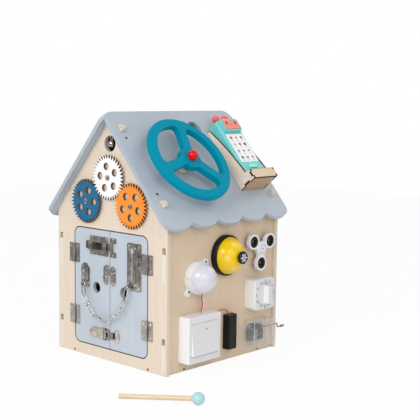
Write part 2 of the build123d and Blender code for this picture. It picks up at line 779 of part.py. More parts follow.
with BuildPart() as latch_keeper:
    with BuildSketch(FRONT):
        with Locations((latch_keeper_x, latch_z)):
            Ellipse(latch_keeper_width / 2, latch_keeper_height / 2)
        with Locations(((catch_left + latch_keeper_x) / 2, latch_z)):
            Rectangle(latch_keeper_x - catch_left, catch_width)
    extrude(amount=sheet)
    with BuildSketch(FRONT):
        with Locations((catch_left + 3.4, latch_z)):
            Rectangle(sheet, catch_width)
    extrude(amount=4.4)
    with BuildSketch(FRONT.offset(3.2)):
        with Locations((catch_left + 3.4 + 2.4, latch_z)):
            Rectangle(6, catch_width)
    extrude(amount=sheet)
finish(latch_keeper, "latch_keeper")

# ================================================================ gears
gear_drop = gear_top_z - gear_low_z
gear_side = sqrt(gear_spacing**2 - gear_drop**2)
gear_places = ((0.0, gear_top_z), (-gear_side, gear_low_z), (gear_side, gear_low_z))
mesh_angle = degrees(atan2(gear_drop, gear_side))
tooth_pitch = 360 / gear_teeth
# the white gear points a tooth at the blue one, and each lower gear turns a gap to the white teeth
tooth_turns = (180 + mesh_angle, mesh_angle + tooth_pitch / 2, tooth_pitch / 2 - 3 * mesh_angle)


def gear(place, tooth_turn, window_turn):
    """A flat gear with pointed teeth, five round windows and a bore."""
    flanks = (
        (gear_root, -tooth_root_half),
        (gear_tip, -tooth_tip_half),
        (gear_tip, tooth_tip_half),
        (gear_root, tooth_root_half),
    )
    rim = [
        polar(radius, tooth_turn + tooth * tooth_pitch + turn)
        for tooth in range(gear_teeth)
        for radius, turn in flanks
    ]
    with BuildPart() as wheel:
        with BuildSketch(FRONT.offset(gear_stand)):
            with Locations(place):
                with BuildSketch(mode=Mode.PRIVATE) as disc:
                    with BuildLine():
                        Polyline(*rim, close=True)
                    make_face()
                    with PolarLocations(gear_window_ring, 5, start_angle=window_turn):
                        Circle(gear_window / 2, mode=Mode.SUBTRACT)
                    Circle(gear_bore, mode=Mode.SUBTRACT)
                add(disc.sketch)
        extrude(amount=gear_thick)
    return wheel


white_gear = gear(gear_places[0], tooth_turns[0], gear_turns[0])
finish(white_gear, "white_gear")
blue_gear = gear(gear_places[1], tooth_turns[1], gear_turns[1])
finish(blue_gear, "blue_gear")
orange_gear = gear(gear_places[2], tooth_turns[2], gear_turns[2])
finish(orange_gear, "orange_gear")

eye_z = bell_hole_z + bell_hole / 2 - jingle_drop
with BuildPart() as gable_bolts:
    for place in gear_places:
        with BuildSketch(lathe(FRONT, *place)):
            with BuildLine():
                Polyline(
                    (0, 0),
                    (7, 0),
                    (7, gear_stand - 0.2),
                    (gear_bore - running, gear_stand - 0.2),
                    (gear_bore - running, gear_stand + gear_thick + 0.2),
                    (5, gear_stand + gear_thick + 0.2),
                    (5, gear_stand + gear_thick + 1.4),
                    (3, gear_stand + gear_thick + 2.2),
                    (0, gear_stand + gear_thick + 2.2),
                    close=True,
                )
            make_face()
        revolve(axis=spindle(FRONT, *place))
    with BuildSketch(Plane.XY.offset(eye_z + jingle_eye)):
        with Locations((0, -gable_y + board / 2)):
            Circle(0.9)
    extrude(amount=bell_hole / 2 + bell_hole_z - eye_z - jingle_eye - 0.1)
    with Locations(Location((0, -gable_y + board / 2, eye_z), (0, 90, 0))):
        Torus(jingle_eye, jingle_wire)
finish(gable_bolts, "gable_bolts")

swing_z = eye_z - jingle_eye
loop_z = swing_z + 2 * jingle_wire + running - jingle_loop
jingle_z = loop_z - jingle_loop - jingle + 0.6
with BuildPart() as jingle_bell:
    with Locations((0, -gable_y + board / 2, jingle_z)):
        Sphere(jingle)
        Cylinder(jingle + 0.5, 1.2)
    with BuildSketch(Plane.XY.offset(jingle_z - jingle)):
        with Locations((0, -gable_y + board / 2)):
            Rectangle(10, jingle_slot)
            Rectangle(jingle_slot, 10)
    extrude(amount=4, mode=Mode.SUBTRACT)
    with Locations(Location((0, -gable_y + board / 2, loop_z), (90, 0, 0))):
        Torus(jingle_loop, jingle_wire)
finish(jingle_bell, "jingle_bell")

# ================================================================ steering wheel
WHEEL = Plane(
    origin=ROOF.from_local_coords((wheel_s, wheel_y, 0)), x_dir=ROOF.x_dir, z_dir=ROOF.z_dir
)
with BuildPart() as steering_wheel:
    with BuildSketch(WHEEL.offset(wheel_rise)):
        with BuildSketch(mode=Mode.PRIVATE) as windows:
            Circle(wheel_rim_inner)
            Circle(wheel_hub, mode=Mode.SUBTRACT)
            with PolarLocations(wheel_rim_inner / 2, 3, start_angle=spoke_angle):
                Rectangle(wheel_rim_inner + 4, spoke_width, mode=Mode.SUBTRACT)
            fillet(windows.vertices(), window_corner)
        Circle(wheel_radius)
        add(windows.sketch, mode=Mode.SUBTRACT)
    extrude(amount=wheel_thick)
    rims = steering_wheel.edges().filter_by(GeomType.CIRCLE).filter_by(
        lambda edge: abs(edge.radius - wheel_radius) < 0.01
    )
    fillet(rims, 3.5)
    with BuildSketch(WHEEL.offset(standoff)):
        Circle(wheel_boss)
    extrude(amount=wheel_rise - standoff)
    with BuildSketch(WHEEL.offset(standoff)):
        Circle(axle + running)
    extrude(amount=wheel_rise + wheel_thick, mode=Mode.SUBTRACT)
finish(steering_wheel, "steering_wheel")

with BuildPart() as wheel_standoff:
    with BuildSketch(WHEEL):
        Circle(standoff)
        Circle(axle, mode=Mode.SUBTRACT)
    extrude(amount=standoff - 0.3)
    chamfer(wheel_standoff.faces().sort_by(Axis(WHEEL.origin, WHEEL.z_dir))[-1].outer_wire().edges(), 1)
finish(wheel_standoff, "wheel_standoff")

ball_flat = wheel_rise + wheel_thick + 0.3
ball_middle = wheel_rise + wheel_thick + wheel_ball_rise
with BuildPart() as wheel_knob:
    with Locations(Location(WHEEL.from_local_coords((0, 0, ball_middle)))):
        Sphere(wheel_ball)
    split(bisect_by=WHEEL.offset(ball_flat), keep=Keep.TOP)
    with BuildSketch(WHEEL):
        Circle(axle)
    extrude(amount=ball_flat + 1)
finish(wheel_knob, "wheel_knob")

# ================================================================ phone cradle
cradle_mid = (cradle_near + cradle_far) / 2
cradle_inside = cradle_far - cradle_near - 2 * ply - 2 * glue
end_finger = cradle_rise / 3
lip_finger = cradle_lip / 2
with BuildPart() as phone_cradle:
    for near in (cradle_near, cradle_far - ply):
        cheek = Plane(
            origin=ROOF.from_local_coords((0, near, 0)), x_dir=ROOF.x_dir, z_dir=-ROOF.y_dir
        )
        with BuildSketch(cheek):
            with BuildLine():
                Polyline(
                    (cradle_top + cheek_toe, cheek_toe_rise),
                    (cradle_top, 0),
                    (cradle_end, 0),
                    (cradle_end, cradle_rise),
                    (cradle_end - cradle_lip, cradle_rise),
                    (cradle_end - cradle_lip - cheek_throat, cheek_throat_rise),
                )
                ThreePointArc(
                    (cradle_end - cradle_lip - cheek_throat, cheek_throat_rise),
                    (cradle_top + cheek_waist, cheek_waist_rise),
                    (cradle_top + cheek_toe, cheek_toe_rise),
                )
            make_face()
            with Locations((cradle_end - ply / 2, cradle_rise / 2)):
                Rectangle(ply + 2 * glue, end_finger + 2 * glue, mode=Mode.SUBTRACT)
            with Locations((cradle_end - cradle_lip / 2, cradle_rise - ply / 2)):
                Rectangle(lip_finger + 2 * glue, ply + 2 * glue, mode=Mode.SUBTRACT)
        extrude(amount=-ply)
    with BuildSketch(across(ROOF, cradle_end - ply)):
        with Locations((cradle_mid, (cradle_rise - ply - glue) / 2)):
            Rectangle(cradle_inside, cradle_rise - ply - glue)
        with Locations((cradle_mid, cradle_rise / 2)):
            Rectangle(cradle_inside + 2 * ply + 2 * glue, end_finger)
    extrude(amount=ply)
    with BuildSketch(ROOF.offset(cradle_rise - ply)):
        with Locations((cradle_end - cradle_lip / 2, cradle_mid)):
            Rectangle(cradle_lip, cradle_inside)
            Rectangle(lip_finger, cradle_inside + 2 * ply + 2 * glue)
    extrude(amount=ply)
    with BuildSketch(ROOF):
        with Locations(((cradle_top + 6 + cradle_end - ply - glue) / 2, cradle_mid)):
            Rectangle(cradle_end - ply - glue - cradle_top - 6, cradle_inside)
    extrude(amount=ply)
finish(phone_cradle, "phone_cradle")

# ================================================================ phone
phone_low = ply + phone_play
phone_face_height = phone_low + phone_thick
phone_end_s = cradle_end - ply - phone_play
phone_mid_s = (phone_top_s + phone_end_s) / 2
head_height = phone_face_height + head_rise
outward = Axis(ROOF.origin, ROOF.z_dir)
with BuildPart() as phone_body:
    with BuildSketch(ROOF.offset(phone_low)):
        with Locations((phone_mid_s, cradle_mid)):
            RectangleRounded(phone_end_s - phone_top_s, phone_width, phone_corner)
    extrude(amount=phone_thick)
    fillet(phone_body.faces().sort_by(outward)[-1].edges(), 4)
    with BuildSketch(ROOF.offset(phone_face_height)):
        with Locations((head_from + head_long / 2, cradle_mid)):
            RectangleRounded(head_long, head_wide, 6)
    extrude(amount=head_rise, taper=8)
    with BuildSketch(ROOF.offset(phone_face_height)):
        with Locations((key_s, cradle_mid)):
            SlotOverall(key_wide + 0.8, key_long + 0.8, rotation=90)
    extrude(amount=-key_travel - 2, mode=Mode.SUBTRACT)
finish(phone_body, "phone_body")

ear_rise_n = phone_low + 0.6 * phone_thick
with BuildPart() as phone_face:
    with BuildSketch(ROOF.offset(head_height)):
        with Locations((head_from + head_long / 2, cradle_mid)):
            RectangleRounded(face_long, face_wide, 3)
    extrude(amount=face_thick)
    for side in (-1, 1):
        ear_centre = ROOF.from_local_coords((ear_s, cradle_mid + side * ear_spread / 2, ear_rise_n))
        ear_plane = Plane(origin=ear_centre, x_dir=ROOF.x_dir, z_dir=ROOF.z_dir)
        with BuildSketch(ear_plane):
            Circle(ear)
            with Locations(((phone_top_s - ear_s) / 2, 0)):
                Rectangle(phone_top_s - ear_s, 2 * ear_neck)
            with Locations((0, -ear)):
                Rectangle(4 * ear, 2 * ear, mode=Mode.SUBTRACT)
        revolve(axis=Axis(ear_centre, ROOF.x_dir))
finish(phone_face, "phone_face")

with BuildPart() as phone_keypad:
    with BuildSketch(ROOF.offset(phone_face_height)):
        with Locations((keypad_from + keypad_long / 2, cradle_mid)):
            RectangleRounded(keypad_long, keypad_wide, 2)
    extrude(amount=keypad_thick)
finish(phone_keypad, "phone_keypad")

with BuildPart() as phone_button:
    with BuildSketch(ROOF.offset(phone_face_height - 1.7)):
        with Locations((key_s, cradle_mid)):
            SlotOverall(key_wide, key_long, rotation=90)
    extrude(amount=1.7 + key_rise)
    fillet(phone_button.faces().sort_by(outward)[-1].edges(), 1)
finish(phone_button, "phone_button")

# ================================================================ lamp
with BuildPart() as lamp_drum:
    with BuildSketch(WALL):
        with Locations((lamp_y, lamp_z)):
            Circle(lamp_base)
        for lug_angle in (48, 228):
            for reach in (lamp_lug_reach, lamp_lug_reach - lamp_lug):
                x, z = polar(reach, lug_angle)
                with Locations((lamp_y + x, lamp_z + z)):
                    Circle(lamp_lug)
    extrude(amount=3)
    with BuildSketch(WALL):
        with Locations((lamp_y, lamp_z)):
            Circle(lamp_base)
            with PolarLocations(lamp_base, 4, start_angle=93):
                Rectangle(5, 9, mode=Mode.SUBTRACT)
    extrude(amount=lamp_base_rise)
finish(lamp_drum, "lamp_base")


def dome_point(radius, rise, share):
    """A point on a round dome's profile, this share of the way from its foot to its top."""
    ball = (radius**2 + rise**2) / (2 * rise)
    foot = degrees(asin(min(1.0, radius / ball)))
    angle = 90 - (foot if rise <= radius else 180 - foot) * (1 - share)
    x, y = polar(ball, angle)
    return x, y + rise - ball


with BuildPart() as lamp_shade:
    with BuildSketch(lathe(WALL, lamp_y, lamp_z)):
        foot, top = lamp_base_rise, lamp_base_rise + lamp_dome_rise
        side_x, side_y = dome_point(lamp_dome, lamp_dome_rise, 0.5)
        with BuildLine():
            Polyline((0, top), (0, foot), (lamp_dome, foot))
            ThreePointArc((lamp_dome, foot), (side_x, foot + side_y), (0, top))
        make_face()
    revolve(axis=spindle(WALL, lamp_y, lamp_z))
finish(lamp_shade, "lamp_dome")

# ================================================================ switch and battery box
pocket_width = rocker_width + 2 * rocker_play
pocket_height = rocker_height + 2.6
ROCKER = Plane(
    origin=WALL.from_local_coords((switch_y, switch_z, rocker_pin_rise)),
    x_dir=WALL.x_dir,
    z_dir=(cos(radians(rocker_tilt)), 0, sin(radians(rocker_tilt))),
)
with BuildPart() as switch_box:
    with BuildSketch(WALL):
        with Locations((switch_y, switch_z)):
            RectangleRounded(switch_size, switch_size, 2.5)
    extrude(amount=switch_rise)
    chamfer(switch_box.faces().sort_by(Axis.X)[-1].edges(), 1)
    with BuildSketch(WALL.offset(switch_rise)):
        with Locations((switch_y, switch_z)):
            Rectangle(pocket_width, pocket_height)
    extrude(amount=rocker_pin_rise - 6 - switch_rise, mode=Mode.SUBTRACT)
    with BuildSketch(Plane.XZ.offset(-switch_y)):
        with Locations((wall_x + rocker_pin_rise, switch_z)):
            Circle(rocker_pin + running)
    extrude(amount=rocker_width / 2 + 2, both=True, mode=Mode.SUBTRACT)
finish(switch_box, "switch_box")

with BuildPart() as switch_rocker:
    with BuildSketch(ROCKER.offset(2)):
        Rectangle(rocker_width, rocker_height)
    extrude(amount=rocker_thick)
    chamfer(switch_rocker.faces().sort_by(Axis(ROCKER.origin, ROCKER.z_dir))[-1].edges(), 0.8)
    with BuildSketch(ROCKER):
        Rectangle(rocker_width, 2 * rocker_pin)
    extrude(amount=2)
    with BuildSketch(Plane.XZ.offset(-switch_y)):
        with Locations((wall_x + rocker_pin_rise, switch_z)):
            Circle(rocker_pin)
    extrude(amount=rocker_width / 2 + 1.8, both=True)
finish(switch_rocker, "switch_rocker")

with BuildPart() as battery_box:
    with BuildSketch(WALL):
        with Locations((battery_y, battery_z)):
            Rectangle(battery_width, battery_height)
    extrude(amount=battery_rise)
    fillet(battery_box.edges().filter_by(Axis.Z).sort_by(Axis.X)[-2:], 4)
    with BuildSketch(Plane.XY.offset(battery_z + battery_height / 2)):
        with Locations((wall_x + 4, battery_y + battery_width / 2 - 5)):
            Rectangle(3, 5)
    extrude(amount=-2, mode=Mode.SUBTRACT)
finish(battery_box, "battery_box")


# ================================================================ wires
def corner_radii(points):
    """For each inner corner, 0.45 of the shorter run divided by the tangent of half the turn."""
    radii = []
    for before, here, after in zip(points, points[1:], points[2:]):
        first, second = Vector(*here) - Vector(*before), Vector(*after) - Vector(*here)
        half_turn = radians(first.get_angle(second)) / 2
        radii.append(0.45 * min(first.length, second.length) / tan(half_turn))
    return radii


def lead_wire(points):
    """One insulated wire that runs over the wall through these points."""
    with BuildPart() as tube:
        with BuildLine(WALL.offset(lead_rise)) as path:
            FilletPolyline(*points, radius=corner_radii(points))
        with BuildSketch(Plane(origin=path.line @ 0, z_dir=path.line % 0)):
            Circle(lead)
        sweep(path=path.line)
    return tube


switch_top = switch_z + switch_size / 2
switch_edge = switch_y + switch_size / 2
lamp_exit_y = lamp_y + lamp_exit
lamp_exit_z = lamp_z - sqrt(lamp_base**2 - lamp_exit**2)
lamp_route = (
    (lamp_exit_y, lamp_exit_z - lead_gap),
    (lamp_exit_y - 2.3, lamp_exit_z - 11),
    (lamp_exit_y + 2.8, switch_top + 13),
    (lamp_exit_y - 2.2, switch_top + lead_gap),
)
with BuildPart() as lamp_wires:
    add(lead_wire(lamp_route).part)
    add(lead_wire([(y + lead_spread, z) for y, z in lamp_route]).part)
finish(lamp_wires, "lamp_wires")

battery_top = battery_z + battery_height / 2
battery_route = (
    (switch_edge + lead_gap, switch_top - 5),
    (switch_edge + 18, switch_top - 3.5),
    (battery_y - 16, switch_top - 3.0),
    (battery_y - 8, switch_top - 9),
    (battery_y - 5.5, battery_top + lead_gap),
)
battery_wire = lead_wire(battery_route)
finish(battery_wire, "battery_wire")

# ================================================================ desk bell
with BuildPart() as desk_bell_base:
    with BuildSketch(lathe(WALL, desk_y, desk_z)):
        with BuildLine():
            Polyline(
                (0, 0),
                (desk_base, 0),
                (desk_base, desk_base_rise - 3),
                (desk_base - 3, desk_base_rise),
                (desk_dome - desk_shell - 2, desk_base_rise),
                (desk_dome - desk_shell - 2, 4),
                (0, 4),
                close=True,
            )
        make_face()
    revolve(axis=spindle(WALL, desk_y, desk_z))
finish(desk_bell_base, "desk_bell_base")

desk_top = desk_base_rise + desk_dome_rise
with BuildPart() as desk_bell_dome:
    with BuildSketch(lathe(WALL, desk_y, desk_z)):
        inner, inner_rise = desk_dome - desk_shell, desk_dome_rise - desk_shell
        outer_x, outer_y = dome_point(desk_dome, desk_dome_rise, 0.5)
        inner_x, inner_y = dome_point(inner, inner_rise, 0.5)
        foot = desk_base_rise
        with BuildLine():
            Line((0, foot + inner_rise), (0, desk_top))
            ThreePointArc((0, desk_top), (outer_x, foot + outer_y), (desk_dome, foot))
            Line((desk_dome, foot), (inner, foot))
            ThreePointArc((inner, foot), (inner_x, foot + inner_y), (0, foot + inner_rise))
        make_face()
    revolve(axis=spindle(WALL, desk_y, desk_z))
    with BuildSketch(WALL.offset(desk_base_rise)):
        with Locations((desk_y, desk_z)):
            Circle(desk_stem + running)
    extrude(amount=desk_dome_rise + 5, mode=Mode.SUBTRACT)
finish(desk_bell_dome, "desk_bell_dome")

with BuildPart() as desk_bell_button:
    with BuildSketch(lathe(WALL, desk_y, desk_z)):
        low = desk_top + desk_travel + 0.4
        with BuildLine():
            Polyline(
                (0, desk_base_rise + 6),
                (desk_stem, desk_base_rise + 6),
                (desk_stem, low),
                (desk_button, low),
                (desk_button, low + desk_button_thick - 1.5),
                (desk_button - 1.5, low + desk_button_thick),
                (0, low + desk_button_thick),
                close=True,
            )
        make_face()
    revolve(axis=spindle(WALL, desk_y, desk_z))
finish(desk_bell_button, "desk_bell_button")

# ================================================================ spinner
lobe_places = [
    (spinner_y + polar(spinner_reach, spinner_angle + k * 120)[0],
     spinner_z + polar(spinner_reach, spinner_angle + k * 120)[1])
    for k in range(3)
]
with BuildPart() as spinner_body:
    with BuildSketch(WALL.offset(spinner_rise)):
        with Locations((spinner_y, spinner_z)):
            with BuildSketch(mode=Mode.PRIVATE) as blades:
                Circle(spinner_hub)
                with PolarLocations(spinner_reach / 2, 3, start_angle=spinner_angle):
                    Rectangle(spinner_reach, spinner_arm)
                inner = blades.vertices()
                fillet(inner.filter_by(lambda v: Vector(v).length < spinner_hub + 0.1), 5)
                with PolarLocations(spinner_reach, 3, start_angle=spinner_angle):
                    Circle(spinner_lobe)
                with PolarLocations(spinner_reach, 3, start_angle=spinner_angle):
                    Circle(spinner_weight + running, mode=Mode.SUBTRACT)
                Circle(spinner_post + running, mode=Mode.SUBTRACT)
            add(blades.sketch)
    extrude(amount=spinner_thick)
finish(spinner_body, "spinner_body")

with BuildPart() as spinner_weights:
    with BuildSketch(WALL.offset(spinner_rise)):
        with Locations(*lobe_places):
            Circle(spinner_weight)
            Circle(spinner_weight / 2, mode=Mode.SUBTRACT)
    extrude(amount=spinner_thick)
finish(spinner_weights, "spinner_weights")

with BuildPart() as spinner_cap_post:
    with BuildSketch(lathe(WALL, spinner_y, spinner_z)):
        top = spinner_rise + spinner_thick + 0.3
        with BuildLine():
            Polyline(
                (0, 0),
                (spinner_post + 3, 0),
                (spinner_post + 3, spinner_rise - 0.3),
                (spinner_post, spinner_rise - 0.3),
                (spinner_post, top),
                (spinner_cap, top),
                (spinner_cap - 1, top + 2),
                (0, top + 2),
                close=True,
            )
        make_face()
    revolve(axis=spindle(WALL, spinner_y, spinner_z))
finish(spinner_cap_post, "spinner_cap")

# ================================================================ timer
with BuildPart() as timer_case:
    with BuildSketch(WALL):
        with Locations((timer_y, timer_z)):
            RectangleRounded(timer_width, timer_height, timer_corner)
    extrude(amount=timer_rise)
    fillet(timer_case.faces().sort_by(Axis.X)[-1].edges(), 2.5)
    with BuildSketch(WALL.offset(timer_rise)):
        with Locations((timer_y, timer_z)):
            Circle(timer_shaft + running)
    extrude(amount=-10, mode=Mode.SUBTRACT)
finish(timer_case, "timer_case")

with BuildPart() as timer_dial_knob:
    with BuildSketch(WALL.offset(timer_rise + 0.3)):
        with Locations((timer_y, timer_z)):
            Circle(timer_dial)
    extrude(amount=timer_dial_thick)
    with BuildSketch(WALL.offset(timer_rise + 0.3 + timer_dial_thick)):
        with Locations((timer_y, timer_z)):
            RectangleRounded(timer_grip_width, timer_grip_length, 3)
    extrude(amount=timer_grip_rise, taper=4)
    with BuildSketch(WALL.offset(timer_rise + 0.3)):
        with Locations((timer_y, timer_z)):
            Circle(timer_shaft)
    extrude(amount=-9)
finish(timer_dial_knob, "timer_dial")

# ================================================================ music box
music_end = music_y + music_length / 2
with BuildPart() as music_case:
    with BuildSketch(WALL):
        with Locations((music_y, music_z)):
            RectangleRounded(music_length, music_height, 3)
    extrude(amount=music_rise)
    with BuildSketch(WALL):
        with Locations((music_y, music_z)):
            Rectangle(music_length - 2 * music_wall, music_height - 2 * music_wall)
    extrude(amount=music_rise - music_wall, mode=Mode.SUBTRACT)
    with BuildSketch(Plane.XZ.offset(-music_end - 1)):
        with Locations((wall_x + crank_rise, crank_z)):
            Circle(crank_wire + running)
    extrude(amount=music_wall + 4, mode=Mode.SUBTRACT)
finish(music_case, "music_case")

drum_rise = crank_rise - worm - drum_gear - 0.3
plate_low, plate_high = drum_low - 0.4, crank_z + drum_gear_thick / 2 + 0.6
comb_edge = drum_y - drum - 0.5
comb_left = comb_edge - comb_length
plate_left = drum_y + drum + 8 - movement_plate
with BuildPart() as music_movement:
    with BuildSketch(WALL):
        with Locations((plate_left + movement_plate / 2, (plate_low + plate_high) / 2)):
            RectangleRounded(movement_plate, plate_high - plate_low + 2 * movement_margin, 3)
    extrude(amount=1.2)
    with BuildSketch(WALL):
        with Locations((plate_left + governor_width / 2, (plate_low + plate_high) / 2)):
            RectangleRounded(governor_width, governor_height, 1.5)
    extrude(amount=governor_rise)
    for low in (plate_low - 2, plate_high):
        with BuildSketch(Plane.XY.offset(low)):
            with Locations((wall_x + drum_rise, drum_y)):
                Circle(3.4)
            with Locations((wall_x + drum_rise / 2, drum_y)):
                Rectangle(drum_rise, 6.8)
            with Locations((wall_x + drum_rise, drum_y)):
                Circle(1 + running, mode=Mode.SUBTRACT)
        extrude(amount=2)
    with BuildSketch(WALL):
        with Locations((comb_left + comb_block / 2, (drum_low + drum_high) / 2)):
            Rectangle(comb_block, drum_high - drum_low)
    extrude(amount=drum_rise)
    with BuildSketch(WALL.offset(drum_rise)):
        with Locations(((comb_left + comb_edge) / 2, (drum_low + drum_high) / 2)):
            Rectangle(comb_edge - comb_left, drum_high - drum_low)
        tooth = (drum_high - drum_low) / comb_teeth
        gaps = [(comb_edge - 5, drum_low + k * tooth) for k in range(1, comb_teeth)]
        with Locations(*gaps):
            Rectangle(12, 0.7, mode=Mode.SUBTRACT)
    extrude(amount=1)
finish(music_movement, "music_movement")

with BuildPart() as music_cylinder:
    with BuildSketch(Plane.XY.offset(drum_low)):
        with Locations((wall_x + drum_rise, drum_y)):
            Circle(drum)
    extrude(amount=drum_high - drum_low)
    with BuildSketch(Plane.XY.offset(drum_high)):
        with Locations((wall_x + drum_rise, drum_y)):
            Circle(drum / 2)
    extrude(amount=crank_z - drum_high)
    with BuildSketch(Plane.XY.offset(crank_z)):
        with Locations((wall_x + drum_rise, drum_y)):
            with BuildSketch(mode=Mode.PRIVATE) as cog:
                Circle(drum_gear)
                with PolarLocations(drum_gear, drum_gear_teeth):
                    Rectangle(1.4, 0.9, mode=Mode.SUBTRACT)
            add(cog.sketch)
    extrude(amount=drum_gear_thick / 2, both=True)
    with BuildSketch(Plane.XY.offset(plate_low - 2)):
        with Locations((wall_x + drum_rise, drum_y)):
            Circle(1)
    extrude(amount=plate_high - plate_low + 4)
finish(music_cylinder, "music_cylinder")

with BuildPart() as music_crank:
    with BuildLine(Plane(origin=(wall_x + crank_rise, 0, 0), x_dir=(0, 1, 0), z_dir=(1, 0, 0))) as bend:
        FilletPolyline(
            (drum_y - 8, crank_z),
            (crank_shaft_end, crank_z),
            (crank_shaft_end, crank_z - crank_arm),
            (crank_handle_end, crank_z - crank_arm),
            radius=2.6,
        )
    with BuildSketch(Plane(origin=bend.line @ 0, z_dir=bend.line % 0)):
        Circle(crank_wire)
    sweep(path=bend.line)
    with BuildSketch(Plane.XZ.offset(-drum_y)):
        with Locations((wall_x + crank_rise, crank_z)):
            Circle(worm)
    extrude(amount=5, both=True)
    with BuildSketch(Plane.XZ.offset(-crank_handle_end)):
        with Locations((wall_x + crank_rise, crank_z - crank_arm)):
            Circle(2.4)
    extrude(amount=9)
finish(music_crank, "music_crank")

# ================================================================ mallet
stick_end = Vector(*mallet_end, mallet_stick)
ball_centre = Vector(*mallet_ball_place, mallet_ball)
with BuildPart() as mallet:
    with Locations(Location(ball_centre)):
        Sphere(mallet_ball)
    along = (ball_centre - stick_end).normalized()
    with BuildSketch(Plane(origin=ball_centre, z_dir=along)):
        Circle(mallet_stick + glue)
    extrude(amount=-mallet_ball, mode=Mode.SUBTRACT)
    with BuildSketch(Plane(origin=ball_centre - along * glue, z_dir=along)):
        Circle(mallet_stick)
    extrude(amount=glue - (ball_centre - stick_end).length)
finish(mallet, "mallet")
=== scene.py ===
"""The looks of the wooden busy house: finishes, small screws, prints, wires, studio and camera."""

from __future__ import annotations

import json
import logging
import math
from dataclasses import dataclass
from enum import Enum
from typing import Callable, Iterable, Sequence, Union

import bpy
from mathutils import Matrix, Vector

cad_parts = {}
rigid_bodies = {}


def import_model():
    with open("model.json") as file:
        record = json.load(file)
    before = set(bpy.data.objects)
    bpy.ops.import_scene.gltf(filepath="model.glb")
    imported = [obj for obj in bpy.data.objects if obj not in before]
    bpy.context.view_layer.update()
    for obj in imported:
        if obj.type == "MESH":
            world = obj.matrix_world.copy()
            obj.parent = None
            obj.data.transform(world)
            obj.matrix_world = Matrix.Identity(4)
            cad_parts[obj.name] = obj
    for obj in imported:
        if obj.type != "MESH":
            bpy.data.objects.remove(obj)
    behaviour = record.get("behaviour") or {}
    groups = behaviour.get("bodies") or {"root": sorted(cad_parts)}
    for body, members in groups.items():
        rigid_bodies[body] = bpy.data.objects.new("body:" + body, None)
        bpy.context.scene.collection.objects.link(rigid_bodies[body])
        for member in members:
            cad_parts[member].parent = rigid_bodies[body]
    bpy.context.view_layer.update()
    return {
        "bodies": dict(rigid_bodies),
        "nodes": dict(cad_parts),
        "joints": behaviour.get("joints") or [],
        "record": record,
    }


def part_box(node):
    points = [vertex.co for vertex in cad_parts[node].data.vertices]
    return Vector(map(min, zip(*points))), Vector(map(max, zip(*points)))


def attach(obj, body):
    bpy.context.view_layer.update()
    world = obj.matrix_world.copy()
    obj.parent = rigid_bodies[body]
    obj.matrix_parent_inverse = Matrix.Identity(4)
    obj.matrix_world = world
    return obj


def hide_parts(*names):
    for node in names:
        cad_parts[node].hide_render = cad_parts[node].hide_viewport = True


logging.basicConfig(level=logging.INFO, format="%(levelname)s %(message)s")
log = logging.getLogger("busy_house")

MM = 0.001
Colour = tuple[float, float, float]
Spot = tuple[float, float]


def srgb(red: int, green: int, blue: int) -> Colour:
    """Turns a colour as a paint chart gives it (0 to 255) into linear light.

    Args:
        red: The red part.
        green: The green part.
        blue: The blue part.

    Returns:
        The three linear values.
    """
    parts = (value / 255 for value in (red, green, blue))
    return tuple(p / 12.92 if p <= 0.04045 else ((p + 0.055) / 1.055) ** 2.4 for p in parts)


def shaded(colour: Colour, factor: float) -> Colour:
    """Returns the colour times a factor."""
    return tuple(min(1.0, part * factor) for part in colour)


def metres(*lengths: float) -> tuple[float, ...]:
    """Turns millimetres into metres."""
    return tuple(length * MM for length in lengths)


# ------------------------------------------------------------------ places
@dataclass(frozen=True)
class Face:
    """A flat side that things are fastened to. Its own z points away from the house."""

    origin: Vector
    right: Vector
    up: Vector

    def matrix(self, u: float = 0.0, v: float = 0.0, height: float = 0.0, turn: float = 0.0) -> Matrix:
        """Gives the placement of a piece on this face.

        Args:
            u: Millimetres to the right.
            v: Millimetres up.
            height: Millimetres off the face.
            turn: Degrees, counter-clockwise seen from outside.

        Returns:
            The matrix from the piece's own metres to the house's.
        """
        out = self.right.cross(self.up)
        place = self.origin + (self.right * u + self.up * v + out * height) * MM
        spin = Matrix((self.right, self.up, out)).transposed().to_4x4()
        return Matrix.Translation(place) @ spin @ Matrix.Rotation(math.radians(turn), 4, "Z")

    def point(self, u: float, v: float, height: float = 0.0) -> Vector:
        """Returns the point at these millimetres on the face."""
        return self.matrix(u, v, height).translation


@dataclass(frozen=True)
class HouseSizes:
    """The house's own measures, in millimetres and degrees."""

    depth: float = 310.0
    wall: float = 145.0
    ridge: float = 468.3
    pitch: float = 50.0


SIZES = HouseSizes()
SLOPE = math.radians(SIZES.pitch)
DOWN = Vector((math.cos(SLOPE), 0, -math.sin(SLOPE)))
NORMAL = Vector((math.sin(SLOPE), 0, math.cos(SLOPE)))
RIDGE = Vector((0, 0, SIZES.ridge * MM))
FRONT = Face(Vector((0, -SIZES.depth / 2 * MM, 0)), Vector((1, 0, 0)), Vector((0, 0, 1)))
BACK = Face(Vector((0, SIZES.depth / 2 * MM, 0)), Vector((-1, 0, 0)), Vector((0, 0, 1)))
WALL = Face(Vector((SIZES.wall * MM, 0, 0)), Vector((0, 1, 0)), Vector((0, 0, 1)))
FAR_WALL = Face(Vector((-SIZES.wall * MM, 0, 0)), Vector((0, -1, 0)), Vector((0, 0, 1)))
ROOF = Face(RIDGE, DOWN, Vector((0, 1, 0)))
FAR_ROOF = Face(RIDGE, Vector((-DOWN.x, 0, DOWN.z)), Vector((0, -1, 0)))


